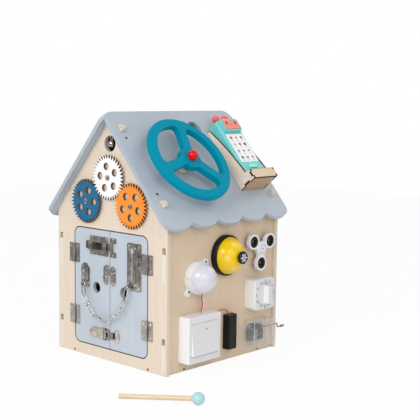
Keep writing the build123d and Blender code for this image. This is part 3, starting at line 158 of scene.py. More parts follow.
# ------------------------------------------------------------------ shader maths
class Wire:
    """A socket of a node tree that takes Python's arithmetic."""

    def __init__(self, graph: Graph, socket: bpy.types.NodeSocket) -> None:
        """Keeps the socket and the tree it belongs to."""
        self.graph = graph
        self.socket = socket

    def __add__(self, other: Value) -> Wire:
        """Adds."""
        return self.graph.math("ADD", self, other)

    def __sub__(self, other: Value) -> Wire:
        """Subtracts."""
        return self.graph.math("SUBTRACT", self, other)

    def __rsub__(self, other: Value) -> Wire:
        """Subtracts from a number."""
        return self.graph.math("SUBTRACT", other, self)

    def __mul__(self, other: Value) -> Wire:
        """Multiplies."""
        return self.graph.math("MULTIPLY", self, other)

    def __truediv__(self, other: Value) -> Wire:
        """Divides."""
        return self.graph.math("DIVIDE", self, other)

    def __abs__(self) -> Wire:
        """Drops the sign."""
        return self.graph.math("ABSOLUTE", self)

    def __mod__(self, other: Value) -> Wire:
        """Gives the rest of a division, never below zero."""
        return self.graph.math("FLOORED_MODULO", self, other)

    __radd__ = __add__
    __rmul__ = __mul__


Value = Union[Wire, float, int, tuple, Vector]


class Graph:
    """A node tree that grows by arithmetic on its wires, and by one method for any node."""

    def __init__(self, tree: bpy.types.NodeTree) -> None:
        """Keeps the tree."""
        self.tree = tree

    def give(self, socket: bpy.types.NodeSocket, value: Value) -> None:
        """Links a wire to an input, or sets its number or colour.

        Args:
            socket: The input.
            value: A wire, a number or a colour.
        """
        if isinstance(value, Wire):
            self.tree.links.new(value.socket, socket)
        elif socket.type == "RGBA" and len(value) == 3:
            socket.default_value = (*value, 1.0)
        else:
            socket.default_value = value

    def node(self, kind: str, settings: dict | None = None, out: int | str = 0, **inputs: Value) -> Wire:
        """Adds any node.

        Args:
            kind: The node's type without "ShaderNode".
            settings: Its own properties, set before the inputs.
            out: The output that is wanted.
            inputs: Values or wires by socket name, with _ for a space, or by number as n0, n1.

        Returns:
            The wire from that output.
        """
        made = self.tree.nodes.new("ShaderNode" + kind)
        for key, value in (settings or {}).items():
            setattr(made, key, value)
        for key, value in inputs.items():
            name = int(key[1:]) if key[0] == "n" and key[1:].isdigit() else key.replace("_", " ")
            self.give(made.inputs[name], value)
        return Wire(self, made.outputs[out])

    def math(self, operation: str, *values: Value) -> Wire:
        """Adds a Math node and returns its result."""
        return self.node("Math", {"operation": operation}, **{f"n{i}": v for i, v in enumerate(values)})

    def vector(self, operation: str, *values: Value, out: int = 0) -> Wire:
        """Adds a Vector Math node and returns its vector, or its value with out=1."""
        named = {f"n{i}": v for i, v in enumerate(values)}
        return self.node("VectorMath", {"operation": operation}, out, **named)

    def along(self, vector: Value, direction: Sequence[float]) -> Wire:
        """Returns how far a vector reaches along a direction."""
        return self.vector("DOT_PRODUCT", vector, tuple(direction), out=1)

    def step(self, value: Value, low: float, high: float) -> Wire:
        """Makes a smooth step.

        Args:
            value: What is compared.
            low: Where the result is 0.
            high: Where the result is 1, which may lie under low.

        Returns:
            The step, from 0 to 1.
        """
        settings = {"interpolation_type": "SMOOTHSTEP", "clamp": True}
        if low <= high:
            return self.node("MapRange", settings, Value=value, From_Min=low, From_Max=high)
        return 1.0 - self.node("MapRange", settings, Value=value, From_Min=high, From_Max=low)

    def blend(self, factor: Value, first: Value, second: Value) -> Wire:
        """Mixes two colours: factor 0 is the first."""
        return self.node("Mix", {"data_type": "RGBA"}, 2, n0=factor, n6=first, n7=second)

    def shades(self, factor: Value, colour: Colour, darkest: float, lightest: float) -> Wire:
        """Returns a colour that runs between two factors of itself."""
        return self.blend(factor, shaded(colour, darkest), shaded(colour, lightest))

    def place(self) -> Wire:
        """Returns the piece's own coordinates, in metres."""
        return self.node("TexCoord", out="Object")

    def normal(self) -> Wire:
        """Returns the surface's direction in the piece's own frame."""
        return self.node("TexCoord", out="Normal")

    def cut_edge(self, side: Side) -> Wire:
        """Returns 1 on the cut edges of a board whose broad faces look this way, and 0 on those faces."""
        return self.step(abs(self.along(self.normal(), side.value)), 0.8, 0.6)

    def noise(self, where: Value, scale: float, detail: float = 3.0, stretch: Sequence[float] = (1, 1, 1),
              twist: float = 0.0) -> Wire:
        """Makes noise from 0 to 1.

        Args:
            where: The coordinates.
            scale: Spots per metre.
            detail: Octaves.
            stretch: A factor on the scale along each axis.
            twist: How far the noise distorts itself.

        Returns:
            The noise's value.
        """
        spread = self.vector("MULTIPLY", where, tuple(stretch))
        return self.node("TexNoise", Vector=spread, Scale=scale, Detail=detail, Distortion=twist)

    def sharpness(self, reach: float) -> Wire:
        """Compares the surface with a rounded one.

        Args:
            reach: The radius of the rounding in millimetres.

        Returns:
            1 on flat ground, and less the nearer an edge is.
        """
        rounded = self.node("Bevel", {"samples": 8}, Radius=reach * MM)
        return self.vector("DOT_PRODUCT", self.node("NewGeometry", out="Normal"), rounded, out=1)


class Mixer(Graph):
    """The node tree of one material, with a Principled shader at its end."""

    def __init__(self, name: str) -> None:
        """Starts an empty material with its shader and output.

        Args:
            name: The material's name.
        """
        self.material = bpy.data.materials.new(name)
        self.material.use_nodes = True
        super().__init__(self.material.node_tree)
        self.tree.nodes.clear()
        self.shader = self.tree.nodes.new("ShaderNodeBsdfPrincipled")
        self.output = self.tree.nodes.new("ShaderNodeOutputMaterial")
        self.show(self.surface())

    def surface(self) -> Wire:
        """Returns the Principled shader's own output."""
        return Wire(self, self.shader.outputs[0])

    def show(self, surface: Wire) -> None:
        """Makes a shader the one that is seen."""
        self.give(self.output.inputs["Surface"], surface)

    def finish(self, colour: Value, roughness: Value, bump: Wire | None = None, depth: float = 0.0,
               round_edge: float = 0.0, **inputs: Value) -> bpy.types.Material:
        """Joins everything to the shader.

        Args:
            colour: Base colour.
            roughness: Roughness.
            bump: Height of the relief, 0 to 1.
            depth: What a height of 1 stands for, in millimetres.
            round_edge: Radius of the worn edges, in millimetres.
            inputs: Other sockets of the shader by name, with _ for a space.

        Returns:
            The finished material.
        """
        self.give(self.shader.inputs["Base Color"], colour)
        self.give(self.shader.inputs["Roughness"], roughness)
        edge = {}
        if round_edge:
            edge["Normal"] = self.node("Bevel", {"samples": 4}, Radius=round_edge * MM)
        if bump is not None:
            edge["Normal"] = self.node("Bump", Height=bump, Distance=depth * MM, Strength=1.0, **edge)
        if edge:
            self.give(self.shader.inputs["Normal"], edge["Normal"])
        for key, value in inputs.items():
            self.give(self.shader.inputs[key.replace("_", " ")], value)
        return self.material


# ------------------------------------------------------------------ finishes
class Grain(Enum):
    """The direction that a board's grain runs in, as a stretch of the noise along each axis."""

    ALONG_X = (0.05, 1.0, 1.0)
    ALONG_Y = (1.0, 0.05, 1.0)
    ALONG_Z = (1.0, 1.0, 0.05)


class Brush(Enum):
    """The direction of a metal's brush marks, as a stretch of the noise along each axis."""

    ALONG_X = (0.06, 1.0, 1.0)
    ALONG_Z = (1.0, 1.0, 0.06)
    POLISHED = (1.0, 1.0, 1.0)


class Side(Enum):
    """The way a board's broad face looks."""

    TO_X = (1.0, 0.0, 0.0)
    TO_Y = (0.0, 1.0, 0.0)
    TO_Z = (0.0, 0.0, 1.0)
    UP_RIGHT = tuple(NORMAL)
    DOWN_RIGHT = tuple(DOWN)


@dataclass(frozen=True)
class Opening:
    """A rounded rectangular opening in a gable, in millimetres."""

    half: float = 100.5
    low: float = 22.5
    high: float = 248.0
    corner: float = 14.0

    def distance(self, mix: Mixer, where: Wire) -> Wire:
        """Measures how far a point lies outside the opening.

        Args:
            mix: The material's node tree.
            where: The piece's own coordinates, in metres.

        Returns:
            The distance in metres, below zero inside the opening.
        """
        reach = (self.half - self.corner) * MM, ((self.high - self.low) / 2 - self.corner) * MM
        across = abs(mix.along(where, Side.TO_X.value)) - reach[0]
        up = abs(mix.along(where, Side.TO_Z.value) - (self.low + self.high) / 2 * MM) - reach[1]
        out_x, out_z = mix.math("MAXIMUM", across, 0.0), mix.math("MAXIMUM", up, 0.0)
        inner = mix.math("MINIMUM", mix.math("MAXIMUM", across, up), 0.0)
        return mix.math("SQRT", out_x * out_x + out_z * out_z) + inner - self.corner * MM


DOORWAY = Opening()


class Finish:
    """A finish that a material is made of."""

    def lay(self, mix: Mixer, where: Wire) -> bpy.types.Material:
        """Lays the finish on; each finish has its own way.

        Args:
            mix: The new material's node tree.
            where: The piece's own coordinates, in metres.

        Returns:
            The finished material.
        """
        raise NotImplementedError

    def make(self, name: str) -> bpy.types.Material:
        """Builds a material of this name and lays the finish on it."""
        mix = Mixer(name)
        return self.lay(mix, mix.place())


@dataclass(frozen=True)
class Plywood(Finish):
    """Birch plywood under clear lacquer: fine grain on the face and plies on the edge.

    An opening has scorched edges and a thin line of smoke round it. Each line is given by how far from
    the opening it has ended and how far it is full. A burnt rim scorches every edge of a small laser-cut
    board. All of these are in millimetres, as is the thickness of a ply.
    """

    colour: Colour = srgb(232, 213, 190)
    grain: Grain = Grain.ALONG_Z
    side: Side = Side.TO_Y
    ply: float = 1.4
    edge_tone: float = 0.9
    contrast: float = 1.0
    edge_colour: Colour | None = None
    opening: Opening | None = None
    burnt_rim: float = 0.0
    scorch: Colour = srgb(62, 38, 26)
    char_line: tuple[float, float] = (0.6, 0.3)
    smoke_line: tuple[float, float] = (1.3, 0.9)

    def veneer(self, mix: Mixer, where: Wire, streaks: Wire, pores: Wire) -> Wire:
        """Colours the broad face.

        Args:
            mix: The material's node tree.
            where: The piece's own coordinates.
            streaks: The fine grain.
            pores: The short dark pores.

        Returns:
            The face's colour.
        """
        broad = mix.noise(where, scale=9, detail=3, stretch=self.grain.value, twist=1.2)
        tone = mix.step(streaks * 0.5 + broad * 0.5, 0.34, 0.66)
        face = mix.shades(tone, self.colour, 1.0 - 0.09 * self.contrast, 1.0 + 0.03 * self.contrast)
        return mix.blend(pores * 0.16, face, shaded(self.colour, 0.62))

    def plies(self, mix: Mixer, where: Wire) -> Wire:
        """Colours the cut edge.

        Args:
            mix: The material's node tree.
            where: The piece's own coordinates.

        Returns:
            The stripes of the plies.
        """
        waves = mix.noise(where, scale=60, detail=1) * 0.3
        layer = mix.along(where, self.side.value) / (self.ply * MM) + waves
        stripe = mix.step(abs((layer % 1.0) - 0.5), 0.12, 0.2)
        bare = self.edge_colour or shaded(self.colour, self.edge_tone)
        return mix.shades(stripe, bare, 0.84, 1.0)

    def lay(self, mix: Mixer, where: Wire) -> bpy.types.Material:
        """Lays long streaks, short pores, and stripes across the edge.

        Args:
            mix: The new material's node tree.
            where: The piece's own coordinates, in metres.

        Returns:
            The finished material.
        """
        streaks = mix.noise(where, scale=90, detail=5, stretch=self.grain.value, twist=0.4)
        pores = mix.step(mix.noise(where, scale=1500, detail=1, stretch=self.grain.value), 0.66, 0.74)
        edge = mix.cut_edge(self.side)
        char = mix.shades(mix.noise(where, scale=220, detail=3), self.scorch, 1.0, 1.9)
        face = self.veneer(mix, where, streaks, pores)
        plies = self.plies(mix, where)
        if self.opening:
            near = self.opening.distance(mix, where)
            plies = mix.blend(mix.step(near, *metres(*self.char_line)), plies, char)
            face = mix.blend(mix.step(near, *metres(*self.smoke_line)), face, char)
        if self.burnt_rim:
            face = mix.blend(mix.step(mix.sharpness(self.burnt_rim), 0.985, 0.93), face, char)
            plies = char
        relief = streaks * 0.6 - pores * 0.4 + edge * mix.noise(where, scale=500, detail=2) * 0.5
        return mix.finish(mix.blend(edge, face, plies), mix.step(streaks, 0.2, 0.8) * 0.1 + 0.42, relief,
                          depth=0.05, round_edge=0.5, Coat_Weight=0.15, Coat_Roughness=0.3)


@dataclass(frozen=True)
class Paint(Finish):
    """Satin paint sprayed on plywood: the faintest grain and a slightly uneven sheen.

    A leaf that fills an opening has a painted shadow along its edges towards it: they are painted near black
    for the shade that falls in the gap.
    """

    colour: Colour
    grain: Grain = Grain.ALONG_Y
    roughness: float = 0.45
    round_edge: float = 0.9
    coat: float = 0.1
    opening: Opening | None = None
    shade: Colour = srgb(30, 26, 26)
    shade_line: tuple[float, float] = (-1.1, -0.9)

    def lay(self, mix: Mixer, where: Wire) -> bpy.types.Material:
        """Lays the paint over the grain.

        Args:
            mix: The new material's node tree.
            where: The piece's own coordinates, in metres.

        Returns:
            The finished material.
        """
        grain = mix.noise(where, scale=110, detail=4, stretch=self.grain.value)
        cloud = mix.noise(where, scale=14, detail=2)
        speck = mix.noise(where, scale=1400, detail=2)
        colour = mix.shades(mix.step(grain * 0.4 + cloud * 0.6, 0.3, 0.7), self.colour, 0.96, 1.03)
        # Painted shadow: the leaf's edge faces and the rim of its face by the opening take the near-black
        # shade colour, for the shade in the gap.
        if self.opening:
            rim = mix.step(self.opening.distance(mix, where), *metres(*self.shade_line))
            colour = mix.blend(rim, colour, self.shade)
        return mix.finish(colour, cloud * 0.12 + (self.roughness - 0.06), speck * 0.6 + grain, depth=0.03,
                          round_edge=self.round_edge, Coat_Weight=self.coat, Coat_Roughness=0.25)


@dataclass(frozen=True)
class CutPaint(Finish):
    """Paint on the broad faces of a laser-cut board, with the scorched edge left bare."""

    colour: Colour
    scorch: Colour = srgb(112, 66, 36)
    side: Side = Side.TO_Y

    def lay(self, mix: Mixer, where: Wire) -> bpy.types.Material:
        """Lays paint on the faces and smoke on the edges.

        Args:
            mix: The new material's node tree.
            where: The piece's own coordinates, in metres.

        Returns:
            The finished material.
        """
        face = mix.shades(mix.noise(where, scale=40, detail=3), self.colour, 0.95, 1.04)
        speck = mix.noise(where, scale=1500, detail=2)
        smoke = mix.shades(mix.noise(where, scale=300, detail=3), self.scorch, 0.7, 1.35)
        edge = mix.cut_edge(self.side)
        return mix.finish(mix.blend(edge, face, smoke), 0.38 + edge * 0.35, speck, depth=0.02,
                          round_edge=0.25, Coat_Weight=0.1)


@dataclass(frozen=True)
class Metal(Finish):
    """Nickel-plated sheet or wire: fine brush marks, darker patches that are partly real staining and partly
    painted dark reflections, painted bright reflections, and soft edges.
    """

    colour: Colour = srgb(186, 181, 175)
    roughness: float = 0.26
    brush: Brush = Brush.ALONG_Z
    stains: float = 0.45
    round_edge: float = 0.3

    def lay(self, mix: Mixer, where: Wire) -> bpy.types.Material:
        """Lays staining mixed with painted dark reflections, painted bright reflections and brush marks on
        the plating.

        Args:
            mix: The new material's node tree.
            where: The piece's own coordinates, in metres.

        Returns:
            The finished material.
        """
        lines = mix.noise(where, scale=2600, detail=2, stretch=self.brush.value)
        cloud = mix.noise(where, scale=75, detail=2, twist=0.6)
        # Painted reflection: the darker patches are partly staining and partly painted dark reflections, and
        # the brighter patches are painted reflections, in place of a room to mirror.
        stain_and_dark_reflection = mix.step(cloud, 0.52, 0.66)
        painted_glint = mix.step(cloud, 0.46, 0.32)
        dark = mix.blend(stain_and_dark_reflection * self.stains, self.colour, shaded(self.colour, 0.2))
        bright = mix.blend(painted_glint * self.stains, dark, shaded(self.colour, 2.0))
        colour = mix.blend(lines * 0.2, bright, shaded(self.colour, 1.3))
        rough = lines * 0.14 + stain_and_dark_reflection * 0.08 + (self.roughness - 0.07)
        return mix.finish(colour, rough, lines, depth=0.012, round_edge=self.round_edge, Metallic=1.0)


@dataclass(frozen=True)
class Plastic(Finish):
    """Moulded plastic: an even colour with the faint texture of its mould.

    The sides that look the way the doors do may have a lighter colour of their own: painted light, for the
    lamps in front.
    """

    colour: Colour
    roughness: float = 0.3
    coat: float = 0.3
    texture: float = 0.015
    round_edge: float = 0.5
    glow: float = 0.0
    gloss: float = 0.5
    side_colour: Colour | None = None
    glow_reach: float = 4.0

    def lay(self, mix: Mixer, where: Wire) -> bpy.types.Material:
        """Lays an almost even colour with a fine relief.

        Args:
            mix: The new material's node tree.
            where: The piece's own coordinates, in metres.

        Returns:
            The finished material.
        """
        cloud = mix.noise(where, scale=30, detail=2)
        mould = mix.noise(where, scale=2200, detail=2)
        colour = mix.shades(cloud, self.colour, 0.975, 1.02)
        # Painted light: the sides that face the front take a lighter colour, for the light from the lamps
        # there.
        if self.side_colour:
            ahead = mix.step(-1.0 * mix.along(mix.normal(), Side.TO_Y.value), 0.4, 0.8)
            colour = mix.blend(ahead, colour, self.side_colour)
        rough = cloud * 0.06 + mould * 0.05 + (self.roughness - 0.05)
        return mix.finish(colour, rough, mould, depth=self.texture, round_edge=self.round_edge,
                          Coat_Weight=self.coat, Coat_Roughness=0.12, Subsurface_Weight=self.glow,
                          Specular_IOR_Level=self.gloss, Subsurface_Radius=metres(*[self.glow_reach] * 3))


@dataclass(frozen=True)
class Ink(Plastic):
    """A thin flat print, without a mould's texture or rounded edges."""

    roughness: float = 0.4
    coat: float = 0.1
    texture: float = 0.0
    round_edge: float = 0.0


@dataclass(frozen=True)
class TwoTone(Finish):
    """One piece in two colours that meet at a distance from a point or along a direction."""

    first: Colour
    second: Colour
    centre: Vector
    reach: float
    direction: tuple[float, float, float] | None = None
    roughness: float = 0.3
    wood: bool = False
    soft_edge: float = 0.05

    def lay(self, mix: Mixer, where: Wire) -> bpy.types.Material:
        """Lays the first colour within the reach and the second beyond it.

        Args:
            mix: The new material's node tree.
            where: The piece's own coordinates, in metres.

        Returns:
            The finished material.
        """
        local = mix.vector("SUBTRACT", where, tuple(self.centre))
        if self.direction:
            distance = mix.along(local, self.direction)
        else:
            distance = mix.vector("LENGTH", local, out=1)
        beyond = mix.step(distance, *metres(self.reach - self.soft_edge, self.reach + self.soft_edge))
        grain = mix.noise(local, scale=120, detail=4, stretch=(0.3, 0.3, 1.0), twist=0.3)
        first = mix.shades(grain, self.first, 0.97, 1.02)
        second = mix.shades(grain, self.second, *((0.85, 1.06) if self.wood else (0.97, 1.02)))
        fine = mix.noise(where, scale=1800, detail=2)
        return mix.finish(mix.blend(beyond, first, second), self.roughness + fine * 0.06, grain * 0.5 + fine,
                          depth=0.02, round_edge=0.3, Coat_Weight=0.3, Coat_Roughness=0.15)


@dataclass(frozen=True)
class PrintedEnamel(Finish):
    """Gloss enamel on a turned piece, with a ring of small printed rosettes round its axis."""

    colour: Colour
    ink: Colour
    centre: Vector
    prints: int
    ring: float
    size: float
    petals: int = 4
    strength: float = 0.55
    roughness: float = 0.12
    coat: float = 0.3

    def unrolled(self, mix: Mixer, where: Wire) -> tuple[Wire, Wire]:
        """Measures from the middle of the nearest rosette, by folding the angle round the axis X.

        Args:
            mix: The material's node tree.
            where: The piece's own coordinates.

        Returns:
            The distances sideways and outwards, in metres.
        """
        local = mix.vector("SUBTRACT", where, tuple(self.centre))
        across = mix.along(local, Side.TO_Y.value)
        up = mix.along(local, Side.TO_Z.value)
        if self.prints == 1:
            return across, up
        radius = mix.math("SQRT", across * across + up * up)
        share = 2 * math.pi / self.prints
        turn = mix.math("ARCTAN2", up, across) / share
        return ((turn % 1.0) - 0.5) * radius * share, radius - self.ring * MM

    def lay(self, mix: Mixer, where: Wire) -> bpy.types.Material:
        """Lays the enamel and prints the rosettes on it.

        Args:
            mix: The new material's node tree.
            where: The piece's own coordinates, in metres.

        Returns:
            The finished material.
        """
        side, rise = self.unrolled(mix, where)
        spread = mix.math("SQRT", side * side + rise * rise) / (self.size * MM)
        angle = mix.math("ARCTAN2", rise, side)
        leaf = mix.math("COSINE", angle * float(self.petals)) * 0.32 + 0.68
        shape = mix.step(spread / leaf, 1.0, 0.9) * mix.step(spread, 0.24, 0.3)
        dot = mix.step(spread, 0.17, 0.12)
        ink = mix.math("MAXIMUM", shape, dot) * self.strength
        cloud = mix.noise(where, scale=40, detail=2)
        base = mix.shades(cloud, self.colour, 0.96, 1.03)
        return mix.finish(mix.blend(ink, base, self.ink), self.roughness + ink * 0.25, cloud, depth=0.01,
                          round_edge=0.4, Coat_Weight=self.coat, Coat_Roughness=0.06,
                          Specular_IOR_Level=0.35)


@dataclass(frozen=True)
class ClearPlastic(Finish):
    """A clear moulded cover: it shows by its gloss, its scuffs, and a painted reflection along its bends, a
    denser pale rim with a grey line in it.
    """

    colour: Colour = srgb(236, 240, 243)
    edge_colour: Colour = srgb(150, 158, 166)
    density: float = 0.1
    edge: float = 0.8
    edge_width: float = 2.4

    def lay(self, mix: Mixer, where: Wire) -> bpy.types.Material:
        """Paints reflection at the edges: denser where the rounded normal leaves the flat one, with a grey
        line.

        Args:
            mix: The new material's node tree.
            where: The piece's own coordinates, in metres.

        Returns:
            The finished material.
        """
        mix.material.surface_render_method = "BLENDED"
        scuffs = mix.step(mix.noise(where, scale=160, detail=5, stretch=(1, 0.3, 1)), 0.5, 0.75)
        # Painted reflection: the denser rim and the grey line stand for the reflection and refraction at the
        # cover's bends.
        turn = mix.sharpness(self.edge_width)
        rim = mix.step(turn, 0.99, 0.86)
        line = mix.step(turn, 0.97, 0.9) - mix.step(turn, 0.9, 0.8)
        return mix.finish(mix.blend(line, self.colour, self.edge_colour), scuffs * 0.12 + 0.06, scuffs,
                          depth=0.01, round_edge=0.6, Alpha=scuffs * 0.03 + rim * self.edge + self.density)


@dataclass(frozen=True)
class PinnedDrum(Finish):
    """The brass drum of a music box, with the pins that pluck the comb."""

    colour: Colour = srgb(84, 60, 46)
    pin_colour: Colour = srgb(226, 210, 180)
    pin_spacing: float = 2.4

    def lay(self, mix: Mixer, where: Wire) -> bpy.types.Material:
        """Sets bright pins at the cells of a Voronoi pattern.

        Args:
            mix: The new material's node tree.
            where: The piece's own coordinates, in metres.

        Returns:
            The finished material.
        """
        cells = mix.node("TexVoronoi", Vector=where, Scale=1000 / self.pin_spacing)
        pin = mix.step(cells, 0.26, 0.16)
        return mix.finish(mix.blend(pin, self.colour, self.pin_colour), 0.32 - pin * 0.1, pin, depth=0.3,
                          round_edge=0.2, Metallic=0.9)


SCREW_NICKEL = Metal(srgb(214, 210, 202), roughness=0.16, stains=0.35)
BLACK_PLASTIC = Plastic(srgb(16, 18, 18), roughness=0.4, coat=0.05, texture=0.03, round_edge=0.6, gloss=0.2)


# ------------------------------------------------------------------ shared ways to make a piece
class Bench:
    """The steps that every new piece goes through on the bench."""

    @staticmethod
    def clear() -> None:
        """Leaves nothing selected, so that an operator acts on one piece alone."""
        if bpy.context.object and bpy.context.object.mode != "OBJECT":
            bpy.ops.object.mode_set(mode="OBJECT")
        bpy.ops.object.select_all(action="DESELECT")

    @staticmethod
    def hold(piece: bpy.types.Object) -> None:
        """Makes a piece the only selected one and the active one.

        Args:
            piece: The piece.
        """
        Bench.clear()
        piece.select_set(True)
        bpy.context.view_layer.objects.active = piece

    @staticmethod
    def pick_faces(piece: bpy.types.Object, test: Callable[[bpy.types.MeshPolygon], bool]) -> None:
        """Goes into edit mode with only the faces that pass a test selected.

        Args:
            piece: The mesh object.
            test: Says whether a face is wanted.
        """
        Bench.hold(piece)
        bpy.ops.object.mode_set(mode="EDIT")
        bpy.ops.mesh.select_mode(type="FACE")
        bpy.ops.mesh.select_all(action="DESELECT")
        bpy.ops.object.mode_set(mode="OBJECT")
        for polygon in piece.data.polygons:
            polygon.select = test(polygon)
        bpy.ops.object.mode_set(mode="EDIT")

    @staticmethod
    def leave() -> None:
        """Goes back to object mode."""
        bpy.ops.object.mode_set(mode="OBJECT")

    @staticmethod
    def duplicate(model: bpy.types.Object, name: str) -> bpy.types.Object:
        """Makes a copy with a mesh of its own.

        Args:
            model: The piece to copy.
            name: The copy's name.

        Returns:
            The copy.
        """
        copy = bpy.data.objects.new(name, model.data.copy())
        bpy.context.scene.collection.objects.link(copy)
        return copy

    @staticmethod
    def copies(model: bpy.types.Object, name: str, places: Iterable[Matrix]) -> bpy.types.Object:
        """Sets copies of a model at each place and joins them.

        Args:
            model: The piece modelled once, round its own origin.
            name: The name of the result.
            places: Where each copy goes.

        Returns:
            One object that holds all copies, at the origin.
        """
        made = []
        for place in places:
            one = Bench.duplicate(model, name)
            one.data.transform(place)
            made.append(one)
        Bench.hold(made[0])
        for one in made[1:]:
            one.select_set(True)
        if len(made) > 1:
            bpy.ops.object.join()
        made[0].name = name
        return made[0]

    @staticmethod
    def cut(piece: bpy.types.Object, tool: bpy.types.Object) -> None:
        """Takes a tool's shape out of a piece and throws the tool away.

        Args:
            piece: The piece that is cut.
            tool: The shape that is taken out.
        """
        Bench.hold(piece)
        modifier = piece.modifiers.new("cut", "BOOLEAN")
        modifier.operation = "DIFFERENCE"
        modifier.object = tool
        bpy.ops.object.modifier_apply(modifier=modifier.name)
        bpy.data.objects.remove(tool)

    @staticmethod
    def smooth(piece: bpy.types.Object, angle: float = 35.0) -> None:
        """Shades a piece smooth, with edges sharper than the angle kept."""
        Bench.hold(piece)
        bpy.ops.object.shade_smooth_by_angle(angle=math.radians(angle))

    @staticmethod
    def place(piece: bpy.types.Object, name: str, where: Matrix) -> bpy.types.Object:
        """Puts a piece's place in its mesh and names it.

        Args:
            piece: The piece, modelled round its own origin.
            name: Its name.
            where: Its place on the house.

        Returns:
            The same piece.
        """
        Bench.hold(piece)
        bpy.ops.object.transform_apply(location=True, rotation=True, scale=True)
        piece.data.transform(where)
        piece.name = name
        return piece

    @staticmethod
    def block(size: Sequence[float], centre: Sequence[float], turn: float = 0.0) -> bpy.types.Object:
        """Makes a plain block to cut with.

        Args:
            size: Its three lengths in millimetres.
            centre: Its middle in millimetres.
            turn: Degrees round its upright.

        Returns:
            The block.
        """
        Bench.clear()
        bpy.ops.mesh.primitive_cube_add(size=1, location=metres(*centre), rotation=(0, 0, math.radians(turn)))
        block = bpy.context.object
        block.scale = metres(*size)
        bpy.ops.object.transform_apply(location=True, rotation=True, scale=True)
        return block

    @staticmethod
    def plate(radius: float, corners: int, thick: float, turn: float = 0.0,
              stretch: Spot = (1.0, 1.0)) -> bpy.types.Object:
        """Makes a thin flat shape with that many corners, lying on the face, with a soft upper edge.

        Args:
            radius: From its middle to a corner, in millimetres.
            corners: How many corners it has; many make it round.
            thick: Its thickness in millimetres.
            turn: Degrees.
            stretch: Factors on its width and its height.

        Returns:
            The piece round its own origin.
        """
        Bench.clear()
        bpy.ops.mesh.primitive_circle_add(vertices=corners, radius=radius * MM, fill_type="NGON",
                                          rotation=(0, 0, math.radians(turn)))
        piece = bpy.context.object
        piece.scale = (*stretch, 1.0)
        bpy.ops.object.transform_apply(location=False, rotation=True, scale=True)
        Bench.pick_faces(piece, lambda polygon: True)
        soft_edge, crown = min(0.25 * thick, 0.15 * radius), 0.2 * thick
        bpy.ops.mesh.extrude_region_move(TRANSFORM_OT_translate={"value": (0, 0, thick * MM)})
        bpy.ops.mesh.inset(thickness=soft_edge * MM, depth=crown * MM)
        bpy.ops.mesh.select_all(action="SELECT")
        bpy.ops.mesh.normals_make_consistent(inside=False)
        Bench.leave()
        return piece

    @staticmethod
    def ring(radius: float, bore: float, thick: float, sides: int = 40) -> bpy.types.Object:
        """Makes a flat ring lying on the face.

        Args:
            radius: Its outer radius in millimetres.
            bore: Its inner radius.
            thick: Its thickness.
            sides: How many sides it has.

        Returns:
            The piece round its own origin.
        """
        piece = Bench.plate(radius, sides, thick)
        Bench.clear()
        bpy.ops.mesh.primitive_cylinder_add(vertices=sides, radius=bore * MM, depth=6 * thick * MM)
        Bench.cut(piece, bpy.context.object)
        return piece


def faces_along(face: bpy.types.MeshPolygon, way: Sequence[float]) -> bool:
    """Says whether a face looks this way or the opposite one, within some 25 degrees."""
    return abs(face.normal.dot(Vector(way))) > 0.9


class Recess(Enum):
    """The driver recess of a screw: the angles of its slots."""

    CROSS = (45.0, 135.0)
    SLOT = (20.0,)


@dataclass(frozen=True)
class Screw:
    """A small screw of which only the head shows, in millimetres. The rest are factors on its size."""

    radius: float = 2.4
    rise: float = 0.6
    recess: Recess = Recess.CROSS
    sides: int = 28
    dome: float = 0.42
    slot_width: float = 0.34
    slot_length: float = 1.25
    slot_depth: float = 1.1

    def model(self) -> bpy.types.Object:
        """Models the head with its domed edge and its recess, round its own origin.

        Returns:
            The head, looking up +Z.
        """
        Bench.clear()
        height = 2.0 * self.rise
        bpy.ops.mesh.primitive_cylinder_add(vertices=self.sides, radius=self.radius * MM, depth=height * MM)
        head = bpy.context.object
        Bench.pick_faces(head, lambda face: face.center.z > 0 and faces_along(face, Side.TO_Z.value))
        bpy.ops.mesh.bevel(offset=self.dome * self.rise * MM, segments=3, affect="EDGES")
        Bench.leave()
        blade = (self.slot_length * self.radius, self.slot_width * self.radius, self.slot_depth * self.rise)
        for angle in self.recess.value:
            Bench.cut(head, Bench.block(blade, (0, 0, height / 2), angle))
        Bench.smooth(head)
        return head


@dataclass
class Part:
    """A sub-assembly of the house. Each has a report that names what it made."""

    frame: dict

    def __post_init__(self) -> None:
        """Keeps the frame's nodes and starts the list of new pieces."""
        self.nodes = self.frame["nodes"]
        self.made: list[str] = []

    def dress(self, material: str, finish: Finish, *names: str) -> None:
        """Gives CAD nodes one material.

        Args:
            material: The material's name.
            finish: What it is made of.
            names: The nodes that wear it.
        """
        made = finish.make(material)
        for name in names:
            self.wear(self.nodes[name], made)

    @staticmethod
    def wear(piece: bpy.types.Object, material: bpy.types.Material) -> None:
        """Gives a piece one material and no other."""
        piece.data.materials.clear()
        piece.data.materials.append(material)

    def add(self, piece: bpy.types.Object, body: str, slot: str, material: bpy.types.Material) -> None:
        """Fixes a new piece to its body and gives it its material.

        Args:
            piece: The finished piece.
            body: The body it moves with.
            slot: The record's material slot it belongs to; it is not used.
            material: What it wears.
        """
        self.wear(piece, material)
        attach(piece, body)
        self.made.append(piece.name)

    def screws(self, name: str, body: str, head: Screw, places: Iterable[Matrix],
               finish: Finish = SCREW_NICKEL) -> None:
        """Drives screws of one kind.

        Args:
            name: The name of the piece that holds them all.
            body: The body they are driven into.
            head: What they look like.
            places: Where each goes.
            finish: Their metal.
        """
        model = head.model()
        piece = Bench.copies(model, name, places)
        bpy.data.objects.remove(model)
        self.add(piece, body, "steel", finish.make(name))

    def build(self) -> None:
        """Dresses the nodes and makes the new pieces; each part has its own."""
        raise NotImplementedError

    def report(self) -> None:
        """Logs what this part made."""
        log.info("%s: %d new pieces %s", type(self).__name__, len(self.made), ", ".join(self.made))


